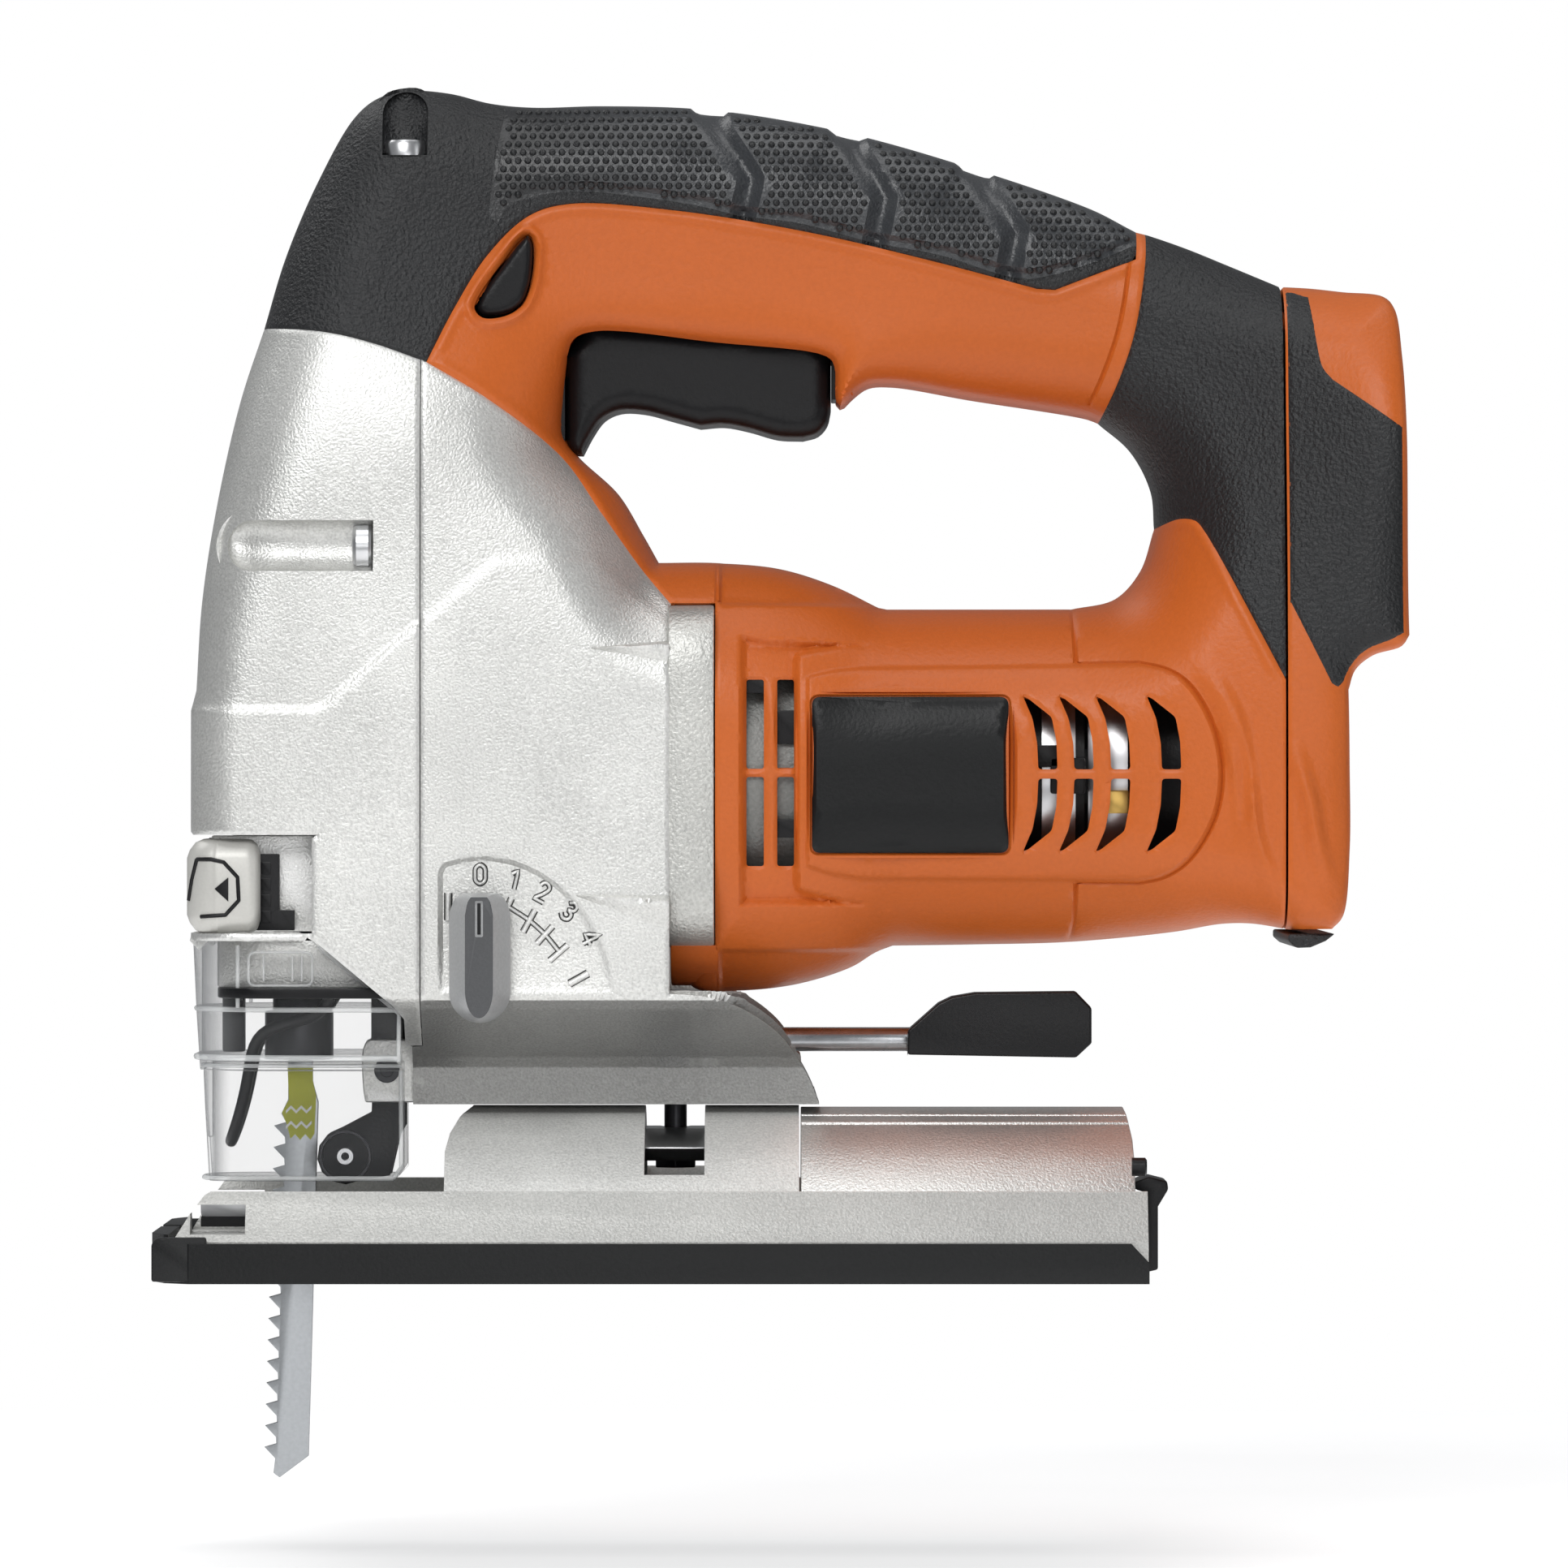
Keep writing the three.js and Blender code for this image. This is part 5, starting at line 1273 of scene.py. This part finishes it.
REFINED = {
    "shoe": (SHOE_PAINT, 0.5), "dust_duct": (SILVER, 0.4), "overshoe": (SATIN, 0.7),
    "overshoe_clip": (BLACK, 0.4),
    "clamp_plate": (CHROME, 0.3), "clamp_bolt": (DARK_STEEL, 0.3), "tilt_lever": (STEEL, 0.5),
    "lever_grip": (BLACK, 1.0), "roller_arm": (BLACK, 0.5),
    "support_roller": (DARK_STEEL, 0.4), "arm_pin": (CHROME, 0.3), "blade_clamp": (DARK_STEEL, 0.4),
    "rear_bumper": (RUBBER, 0.5),
    "plunger": (STEEL, 0.3), "saw_blade": (BLADE, 0.12),
}
for node, (mat, bevel) in REFINED.items():
    own(refined(node, mat, bevel, 3 if bevel >= 0.5 else 2), BODY_OF[node], SLOT_OF[node], node)

# Shoe faces above ARCH_START take the lighter copy, painted light.
shoe_form = bpy.data.objects["shoe_form"]
shoe_form.data.materials.append(ARCH_PAINTED_LIGHT)
shoe_form.data.materials.append(SHOE_TOP_PAINTED_LIGHT)
SHOE_TOP_LIMIT, ARCH_START = 16, 14.2
# Flat faces facing up, low on the shoe, take the lighter copy, painted light.
for poly in shoe_form.data.polygons:
    flat_top = poly.normal.z > 0.9 and poly.center.z < SHOE_TOP_LIMIT * MM
    poly.material_index = 2 if flat_top else int(poly.center.z > ARCH_START * MM)


# ---------------------------------------------------------------- finger guard wire
LEG = (
    (-56, 13.5, 59), (-56, 13.5, 50), (-58.4, 12.9, 45.2), (-66, 9.3, 43.9),
    (-70.6, 6, 41.6), (-71.6, 4.9, 34), (-73.2, 4.1, 27.4), (-74.8, 2.6, 23),
)
legs = [[(x, s * y, z) for x, y, z in LEG] for s in (-1, 1)]
guard_line = np.array(legs[0] + [(-75.2, 0, 22.3)] + legs[1][::-1], float)


def smooth3(points):
    """Points along a smooth curve in space through the given ones."""
    t = np.linspace(0, 1, len(smooth(points[:, :2])))
    length = np.concatenate([[0], np.cumsum(np.linalg.norm(np.diff(points, axis=0), axis=1))])
    length /= length[-1]
    out = np.stack([np.interp(t, length, points[:, k]) for k in range(3)], 1)
    for _ in range(6):
        out[1:-1] = (out[:-2] + 2 * out[1:-1] + out[2:]) / 4
    return out


own(wire("finger_wire", smooth3(guard_line), 1.05, BLACK, 14), "tool_body", "black_plastic", "finger_guard")


# ---------------------------------------------------------------- trigger and lock button
TRIGGER = chain(
    smooth([(-13.2, 143.2), (-14.8, 143.4), (-15.9, 145), (-16.05, 148)]),
    straight([(-16.05, 148), (-16.05, 161), (-12, 166.5), (27, 163.5), (30.15, 160.5), (30.15, 150.6)]),
    smooth([(30.15, 150.6), (29.6, 148.4), (28, 146.6), (25.3, 145.8)]),
    smooth([(25.3, 145.8), (21, 146), (15.9, 147.4), (11.6, 148.2), (7.4, 147.9)]),
    smooth([(7.4, 147.9), (3, 149.1), (-2.4, 150.5), (-6.6, 150.6), (-9.4, 149.3), (-11.4, 146.6),
            (-13.2, 143.2)]),
)


def crowned(line, half, reach, drop):
    """The half-width of a piece with rounded sides."""
    ring = closed(line)

    def height(q):
        t = np.clip(gap(q, ring) / reach, 0, 1)
        return half - drop * (1 - np.sqrt(1 - (1 - t) ** 2))

    return height


trigger_sides = []
for side in (-1, 1):
    verts, faces = panel(TRIGGER, crowned(TRIGGER, 10.3, 3.4, 3.0), [closed(TRIGGER)], (), [], side,
                         part=0.0, step=1.1)
    trigger_sides.append(make("trigger_side", verts, faces, BLACK))
own(join("trigger_form", trigger_sides), "trigger", "black_plastic", "trigger")
guides = [
    put("fill", block(*span, -9, 9), BLACK, bevel=0.2)
    for span in ((-18.5, -16.15, 143.2, 166), (30.25, 33, 152.6, 162))
]
own(join("trigger_guides", guides), "tool_body", "black_plastic")
BUTTON_EDGE = inset(BUTTON, 0.4)
BUTTON_MIDDLE = (-25.6, 173.6)
top = float(body_half(np.array([BUTTON_MIDDLE]))[0]) + 1.1
form = crowned(BUTTON_EDGE, top, 1.6, 1.0)
verts, faces = panel(BUTTON_EDGE, form, [closed(BUTTON_EDGE)], (), [], -1, part=-10.0, step=0.8)
own(make("lock_button_form", verts, faces, BLACK), "lock_button", "black_plastic", "lock_button")


# ---------------------------------------------------------------- pendulum selector
KNOB_X, KNOB_Z, KNOB_RADIUS = -30.4, 49.8, 5.25
KNOB_LEVELS = ((-30.8, 1.0, 1.0), (-32.2, 1.0, 1.0), (-35.3, 0.7, 0.97), (-36.9, 0.46, 0.93))
KNOB_OUTLINE = chain(
    arc((KNOB_X, KNOB_Z), KNOB_RADIUS, 180, 360, 24),
    straight([(KNOB_X + KNOB_RADIUS, KNOB_Z), (KNOB_X + KNOB_RADIUS, 63.5)]),
    smooth([(KNOB_X + KNOB_RADIUS, 63.5), (KNOB_X + 4.2, 66.0), (KNOB_X + 3, 66.9)]),
    straight([(KNOB_X + 3, 66.9), (KNOB_X - 3, 66.9)]),
    smooth([(KNOB_X - 3, 66.9), (KNOB_X - 4.2, 66.0), (KNOB_X - KNOB_RADIUS, 63.5)]),
)


def stacked(name, outline, levels, centre, mat, cap, sharp=20):
    """An outline stacked outwards along Y through scaled levels, capped with its own material."""
    bm = bmesh.new()
    cx, cz = centre
    rings = []
    for y, sx, sz in levels:
        rings.append([bm.verts.new((cx + (x - cx) * sx, y, cz + (z - cz) * sz)) for x, z in outline])
    obj = put(name, skin(bm, rings), mat, sharp=sharp)
    obj.data.materials.append(cap)
    obj.data.polygons[len(obj.data.polygons) - 1].material_index = 1
    return obj


# The knob's cap face takes the darker copy, painted shade.
knob = stacked("selector_form", KNOB_OUTLINE, KNOB_LEVELS, (KNOB_X, 57.5), KNOB, KNOB_FACE_PAINTED_SHADE)
slot_outline = rounded(corners(KNOB_X - 0.7, KNOB_X + 0.7, 59.4, 65.6), 0.3)
carve(knob, put("pointer_slot", prism(slot_outline, "y", -40, -36.1), BLACK))
for poly in knob.data.polygons:
    poly.use_smooth = abs(poly.normal.y) < 0.95
pointer_bar = block(KNOB_X - 0.3, KNOB_X + 0.3, 59.8, 65.2, -36.5, -35.2)
pointer = put("selector_pointer", pointer_bar, BLACK, bevel=0.1)
spindle = put("selector_spindle", lathe([(-30.4, 3.2), (-16, 3.2)], "y", (KNOB_X, KNOB_Z), 32), BLACK)
own(knob, "selector", "black_plastic", "selector_knob")
own(pointer, "selector", "black_plastic")
own(spindle, "selector", "black_plastic", "selector_knob")

# Raised numerals and bars of the scale, drawn as fine strokes on the case.
STROKES = {
    "0": [smooth([(0.5, 1.5), (0.85, 1.25), (0.9, 0.75), (0.85, 0.25), (0.5, 0), (0.15, 0.25), (0.1, 0.75),
                  (0.15, 1.25)], closed=True, step=0.12)],
    "1": [straight([(0.2, 1.15), (0.6, 1.5), (0.6, 0)], step=0.3)],
    "2": [chain(smooth([(0.12, 1.15), (0.3, 1.45), (0.6, 1.48), (0.86, 1.2), (0.7, 0.75), (0.1, 0.0)],
                       step=0.12),
                straight([(0.1, 0), (0.95, 0)], step=0.3))],
    "3": [smooth([(0.12, 1.25), (0.4, 1.5), (0.75, 1.35), (0.75, 0.95), (0.4, 0.78), (0.8, 0.62), (0.85, 0.2),
                  (0.45, 0), (0.1, 0.22)], step=0.12)],
    "4": [straight([(0.65, 0), (0.65, 1.5), (0.05, 0.45), (0.95, 0.45)], step=0.3)],
}
SCALE_PLACES = (("0", -30.4, 70.1, 0), ("1", -24.4, 69.2, 13), ("2", -19.6, 67.1, 28),
                ("3", -15.0, 63.8, 43), ("4", -11.3, 59.2, 62))


def stroke_tube(name, line, radius, mat, lift):
    """A stroke that lies on the near face of the gear case."""
    path = []
    for x, z in line:
        _, at, *_ = CASE_FACE.ray_cast(Vector((x, -60, z)) * MM, Vector((0, 1, 0)))
        path.append((x, at.y / MM - lift, z))
    return wire(name, path, radius, mat)


def raised(name, line, radius, lift, ground, sink):
    """A silver stroke with a wider dark one under it, whose dark rim is painted shade."""
    return [stroke_tube(name, line, radius, SILVER, lift), stroke_tube(name, line, ground, DIAL_PAINTED_SHADE, sink)]


# Dark paint under the strokes: painted shade round the raised numerals and bars.
DIAL_PAINTED_SHADE = material("dial_painted_shade", (58, 58, 57), 0.45, metal=0.5, grain=(1900, 0.6, 0.0002), fleck=0.2)
DIGIT_SIZE = 2.2
marks = []
for digit, x, z, turn in SCALE_PLACES:
    c, s = math.cos(math.radians(-turn)), math.sin(math.radians(-turn))
    for line in STROKES[digit]:
        p = (line - [0.5, 0.75]) * DIGIT_SIZE
        p = np.stack([x + p[:, 0] * c - p[:, 1] * s, z + p[:, 0] * s + p[:, 1] * c], 1)
        marks += raised("digit", closed(p) if digit == "0" else p, 0.26, 0.24, 0.72, -0.5)
BARS = (
    ((-35.9, 66.9), (-35.9, 62.2), 0.55), ((-25.0, 66.0), (-25.9, 64.0), 0.5),
    ((-21.0, 63.9), (-23.0, 60.2), 0.5),
    ((-17.9, 61.2), (-20.6, 58.2), 0.5), ((-15.3, 57.9), (-18.4, 55.2), 0.5),
    ((-11.8, 53.0), (-15.0, 51.2), 0.6),
)
for a, b, radius in BARS:
    marks += raised("bar", straight([a, b], step=0.6), radius - 0.06, 0.14, radius + 0.5, -0.74)
ring = smooth([(-25.4, 64.4), (-22, 62.2), (-19.2, 59.7), (-16.8, 56.8)])
marks += raised("bar", ring, 0.3, 0.12, 0.74, -0.53)
own(join("dial_scale", marks), "tool_body", "silver_paint")


# ---------------------------------------------------------------- blade lever, its icon and shroud
LEVER_PLAN = chain(
    straight([(-68.4, -29.5), (-76, -29.5)], step=0.5),
    arc((-75.4, -23.6), 5.85, 262, 180, 14),
    straight([(-81.2, -20), (-81.2, 14)], step=4),
    arc((-77.3, 20.4), 3.9, 180, 90, 10),
)
LEVER_SECTION = (
    (0, 63.1), (0, 72.9), (0.5, 74.3), (1.5, 75.6), (2.9, 76.2), (3.5, 75.7), (3.5, 60.3), (2.9, 59.8),
    (1.5, 60.4), (0.5, 61.7),
)
LEVER_MIDDLE, LEVER_HALF, LEVER_DEPTH, LEVER_ROUND = 68, 8.2, 3.5, 2.4
inward = np.gradient(LEVER_PLAN, axis=0)
inward /= np.linalg.norm(inward, axis=1, keepdims=True)
inward = np.stack([inward[:, 1], -inward[:, 0]], 1)
if inward[0][1] < 0:
    inward = -inward
run = np.concatenate([[0], np.cumsum(np.linalg.norm(np.diff(LEVER_PLAN, axis=0), axis=1))])
bm = bmesh.new()
rings = []
for p, n, far in zip(LEVER_PLAN, inward, run):
    turn = LEVER_ROUND * (1 - math.sqrt(1 - (1 - min(far / LEVER_ROUND, 1)) ** 2))
    ring = []
    for d, z in LEVER_SECTION:
        x, y = p + n * min(d + turn * 0.7, LEVER_DEPTH)
        height = (z - LEVER_MIDDLE) * (LEVER_HALF - turn) / LEVER_HALF
        ring.append(bm.verts.new((x, y, LEVER_MIDDLE + height)))
    rings.append(ring)
own(put("blade_lever_form", skin(bm, rings), LEVER_GREY, sharp=50), "blade_lever", "silver_paint",
    "blade_lever")
icon = []
for line in (
    straight([(-79.3, 72.7), (-76.8, 72.7), (-74.6, 72.2), (-72.2, 69.6), (-72.0, 65.6), (-74.3, 63.1),
              (-78.6, 62.8)]),
    straight([(-79.3, 72.7), (-80.2, 69.2), (-80.8, 65.6)]),
):
    path = [(x, -23.45 - math.sqrt(max(6.02**2 - max(0, -75.4 - x) ** 2, 0)), z) for x, z in line]
    icon.append(wire("icon_line", path, 0.36, BLACK))
icon.append(put("icon_arrow", prism([(-76.2, 67.6), (-73.8, 69.6), (-73.8, 65.4)], "y", -29.75, -29.2),
                BLACK, bevel=0.15))
own(join("lever_icon", icon), "blade_lever", "black_plastic")
back = rounded(corners(-77, -59.3, 60.2, 76.8), 0.4)
shroud = [put("shroud", prism(back, "y", -23.4, -21.8), SILVER, bevel=0.2)]
steps = rounded([(-71, 60.4), (-62.6, 60.4), (-62.6, 63.9), (-65.2, 63.9), (-65.2, 73.6), (-71, 73.6)], 0.2)
shroud.append(put("shroud", prism(steps, "y", -25.2, -23), BLACK, bevel=0.2))
for z in (61.6, 64.4, 67.2, 70.0):
    tooth = rounded(corners(-68.4, -66.6, z, z + 2.2), 0.3)
    shroud.append(put("shroud", prism(tooth, "y", -25.3, -24.9), BLACK, bevel=0.15))
own(join("lever_shroud", shroud), "tool_body", "black_plastic")


# ---------------------------------------------------------------- blade paint
paint = []
YELLOW = material("blade_paint", (176, 178, 32), 0.4, grain=(900, 0.2, 0.00003), fleck=0.06, wear=0.1)
WHITE = material("blade_line", (232, 232, 228), 0.45, grain=(900, 0.2, 0.00003), fleck=0.02, wear=0.1)
shank = [(-64.9, 36.2), (-60.5, 36.2), (-60.5, 33.8), (-59.9, 31), (-60.2, 24.5), (-60.9, 23.4),
         (-61.8, 24.4), (-62.7, 23.4), (-63.6, 24.4),
         (-64.4, 23.6), (-65.0, 26), (-65.9, 28.2), (-64.7, 30.4)]
for s in (-1, 1):
    paint.append(put("paint", prism(shank, "y", *sorted((s * 0.6, s * 0.69))), YELLOW))
    for z in (29.0, 26.3):
        zig = [(-65.2 + 0.9 * k, z + (0.45 if k % 2 else -0.45)) for k in range(6)]
        band = zig + [(x, y - 0.55) for x, y in zig[::-1]]
        paint.append(put("paint", prism(band, "y", *sorted((s * 0.6, s * 0.72))), WHITE))
own(join("blade_marks", paint), "blade", "steel")


# ---------------------------------------------------------------- clear guard
own(refined("clear_guard", CLEAR, 0.7, 3), "guard", "clear_plastic", "clear_guard")


def wrap(front, half, back, z):
    """A line round the guard's plan, from one back corner to the other."""
    r = half * 0.8
    plan = chain(
        straight([(back, -half), (front + r, -half)]),
        arc((front + r, -half + r), r, 270, 180, 12),
        arc((front + r, half - r), r, 180, 90, 12),
        straight([(front + r, half), (back, half)]),
    )
    return [(x, y, z) for x, y in plan]


# Beads on the guard's rims, ledges and ribs, in the near-white clear plastic: raised edges with a painted
# highlight.
beads = [
    (wrap(-80.6, 23.4, -45, 46.6), 0.45), (wrap(-80.6, 23.4, -44.8, 38.2), 0.55),
    (wrap(-79.6, 11.3, -44.6, 36.6), 0.35), (wrap(-79.4, 11.4, -46, 17.0), 0.4),
]
grip_line = closed(rounded(corners(-70.6, -59.6, 50.8, 56.6), 1.2))
for s in (-1, 1):
    beads += [
        ([(-44.7, s * 11.2, 36), (-44.6, s * 11.2, 19), (-46, s * 11.2, 17)], 0.4),
        ([(-44.7, s * 23.4, 37.6), (-44.6, s * 23.4, 46), (-58.6, s * 23.2, 57.6)], 0.4),
        ([(-72.5, s * 23.2, 47), (-72.5, s * 23.2, 57.8)], 0.35),
        ([(x, s * 23.7, z) for x, z in grip_line], 0.25),
        *[([(x, s * 23.8, 51.6), (x, s * 23.8, 56)], 0.2) for x in (-68, -63, -61.4)],
    ]
edges = [wire("edge", path, radius, CLEAR_EDGE_HIGHLIGHT) for path, radius in beads]
own(join("guard_edges", edges), "guard", "clear_plastic")


# ---------------------------------------------------------------- lugs that hold the roller arm
ARM_PIN, ROLLER = (-47.2, 35.8), (-54.6, 20.7)
lugs = []
lug = chain(
    straight([(-42.4, 30.2), (-51.0, 30.2)]),
    smooth([(-51.0, 30.2), (-51.4, 33), (-51.4, 39.5), (-50.6, 41.2)]),
    straight([(-50.6, 41.2), (-42.4, 41.2), (-42.4, 30.2)]),
)
for s in (-1, 1):
    lugs.append(put("lug", prism(lug, "y", *sorted((s * 6.7, s * 9.4))), SILVER, bevel=0.5, segments=3))
for s in (-1, 1):
    y0, y1, y2 = s * 9.2, s * 9.75, s * 9.9
    pin = lathe([(y0, 2.2), (y1, 2.2), (y2, 2.0), (y2, 1.2), (y1, 1.1), (y1, 0.1)], "y", ARM_PIN, 32)
    lugs.append(put("lug", pin, DARK_STEEL))
own(join("arm_lugs", lugs), "tool_body", "silver_paint")
rims = []
for s in (-1, 1):
    y0, y1 = s * 6.1, s * 6.55
    rim = lathe([(y0, 4.6), (y1, 4.5), (y1, 4.1), (y0, 4.0), (y0, 4.6)], "y", ROLLER, 40)
    rims.append(put("rim", rim, DARK_STEEL))
    rims.append(put("rim", lathe([(y0, 1.5), (y1, 1.4), (y1, 0.7), (y0, 0.5)], "y", ROLLER, 32), CHROME))
own(join("roller_rims", rims), "roller_arm", "steel")


# ---------------------------------------------------------------- inner parts seen through the vents and gaps
NECK = [(-21.5, 57.8), (-19.6, 55.4), (-16.2, 53.1), (-11, 51.3), (-5, 50.5)]
# A darker copy of the cast alloy for the drum behind the front vents: painted shade inside the housing.
INNER_PAINTED_SHADE = material("inner_casting_painted_shade", (120, 121, 118), 0.5, metal=0.4, grain=(1500, 0.8, 0.0002), fleck=0.25)
DRUMS = (
    ([(12.5, 24.6), (12.5, 26.4), (19.2, 26.4), (19.6, 25.6), (24.6, 25.6), (24.6, 24.6), (12.5, 24.6)], 96,
     INNER_PAINTED_SHADE),
    ([(60, 20.6), (60, 22.0), (74, 22.0), (74, 20.6), (60, 20.6)], 96, BLACK),
    ([(66.6, 22.0), (66.6, 23.6), (69.6, 23.8), (72.4, 23.6), (72.4, 22.0), (66.6, 22.0)], 96, CHROME),
    ([(74.6, 18), (74.6, 23.4), (77, 24.4), (81.4, 24.4), (82, 18), (74.6, 18)], 96, CHROME),
    ([(84.5, 8), (84.5, 22), (98, 25), (98, 8), (84.5, 8)], 64, BLACK),
)
# Blocks just inside the vents. The black ones behind the front vents are painted shade seen through them;
# those behind the rear vents stand for the brush gear.
VENT_BLOCKS = (
    (14.2, 101.4, 104.4, BLACK), (19.9, 92.6, 98.4, BLACK), (19.9, 76.4, 79.6, BLACK),
    (63.4, 88.6, 92.4, BLACK), (68, 84.0, 90.2, BLACK), (75.6, 80.6, 84.6, BRASS),
)
inner = [put("drum", lathe(profile, "x", (0, MOTOR_Z), sides), mat) for profile, sides, mat in DRUMS]
inner.append(put("neck", prism(NECK + [(-y, z) for y, z in NECK[::-1]], "x", 2.3, 10.6), ORANGE, bevel=0.4))
for y0, y1 in ((-26.0, -23.5), (23.5, 26.0)):
    for x, z0, z1, mat in VENT_BLOCKS:
        outline = rounded(corners(x, x + 6, z0, z1), 0.5)
        inner.append(put("vent_block", prism(outline, "y", y0, y1), mat, bevel=0.2))
own(join("inner_drums", inner), "tool_body", "cast_alloy")


# ---------------------------------------------------------------- shoe details
nub = put("nub", lathe([(82, 1.6), (84.3, 1.6), (84.6, 1.2), (84.6, 0.2)], "x", (-27.2, 19.6), 24), BLACK)
own(join("duct_nub", [nub]), "shoe", "black_plastic")
cheek = rounded([(-86.4, 0.4), (-77, 0.4), (-77, 8.0), (-85.4, 8.0), (-86.4, 6.9)], 0.5)
cheeks = [put("cheek", prism(cheek, "y", *sorted((s * 39.9, s * 41.3))), SATIN, bevel=0.25) for s in (-1, 1)]
own(join("overshoe_cheeks", cheeks), "shoe", "black_plastic")
# A chrome leaf across the guide slot, and a black strip under it that is painted shade in the slot.
leaf = rounded(corners(-79.7, -70.7, 10.2, 13.1), 0.9)
under = rounded(corners(-79.7, -70.7, 8.5, 10.3), 0.2)
leaves = [put("leaf", prism(leaf, "y", -8, 8), CHROME, bevel=0.1),
          put("leaf", prism(under, "y", -8, 8), BLACK)]
own(join("guide_leaf", leaves), "shoe", "pressed_steel")


# ---------------------------------------------------------------- camera, light and floor
def aim(obj, place, target):
    obj.location = place
    obj.rotation_euler = (Vector(target) - Vector(place)).to_track_quat("-Z", "Y").to_euler()


FRAME_WIDTH = 0.27048
CENTRE = Vector((0.02198, 0.0, 0.08568))
AWAY = 1.9
FACE_DEPTH = 0.028
camera_data = bpy.data.cameras.new("camera")
camera_data.sensor_width = 36
camera_data.lens = camera_data.sensor_width * (AWAY - FACE_DEPTH) / FRAME_WIDTH
camera = bpy.data.objects.new("camera", camera_data)
bpy.context.scene.collection.objects.link(camera)
aim(camera, CENTRE + Vector((0, -AWAY, 0)), CENTRE)
bpy.context.scene.camera = camera


def area_light(name, place, target, size, power, colour=(1, 1, 1)):
    data = bpy.data.lights.new(name, "AREA")
    data.shape = "RECTANGLE"
    data.size, data.size_y = size
    data.energy = power
    data.color = colour
    lamp = bpy.data.objects.new(name, data)
    bpy.context.scene.collection.objects.link(lamp)
    aim(lamp, place, target)


area_light("top_light", (0.1, -0.1, 1.1), (0.02, 0, 0.1), (1.1, 0.4), 3.5)
area_light("front_light", (-0.3, -1.1, 0.85), (0.02, 0, 0.08), (0.8, 0.5), 10.0)
area_light("low_light", (0.25, -1.5, 0.12), (0.02, 0, 0.06), (0.9, 0.3), 2.4)
area_light("side_light", (1.2, -0.6, 0.4), (0.03, 0, 0.1), (0.25, 0.8), 0.9)
area_light("back_light", (-0.6, 0.45, 0.9), (0.02, 0, 0.1), (0.8, 0.4), 2.5)

world = bpy.data.worlds.new("world")
bpy.context.scene.world = world
world.use_nodes = True
nodes, links = world.node_tree.nodes, world.node_tree.links
nodes["Background"].inputs["Color"].default_value = (0.95, 0.97, 1.0, 1)
nodes["Background"].inputs["Strength"].default_value = 0.24
pale = nodes.new("ShaderNodeBackground")
pale.inputs["Color"].default_value = (1, 1, 1, 1)
seen = nodes.new("ShaderNodeLightPath")
either = nodes.new("ShaderNodeMixShader")
links.new(seen.outputs["Is Camera Ray"], either.inputs["Fac"])
links.new(nodes["Background"].outputs[0], either.inputs[1])
links.new(pale.outputs[0], either.inputs[2])
links.new(either.outputs[0], nodes["World Output"].inputs["Surface"])
bpy.context.scene.view_settings.view_transform = "Standard"

FLOOR_LEVEL = -50
bm = bmesh.new()
bmesh.ops.create_grid(bm, x_segments=4, y_segments=4, size=450)
for v in bm.verts:
    v.co.z = FLOOR_LEVEL
PALE = material("pale_floor", (246, 246, 246), 0.7, grain=(300, 0.05, 0.0001), fleck=0.01, wear=0)
glow = PALE.node_tree.nodes["Principled BSDF"].inputs
glow["Emission Color"].default_value = (1, 1, 1, 1)
glow["Emission Strength"].default_value = 0.45
floor = put("floor", bm, PALE)
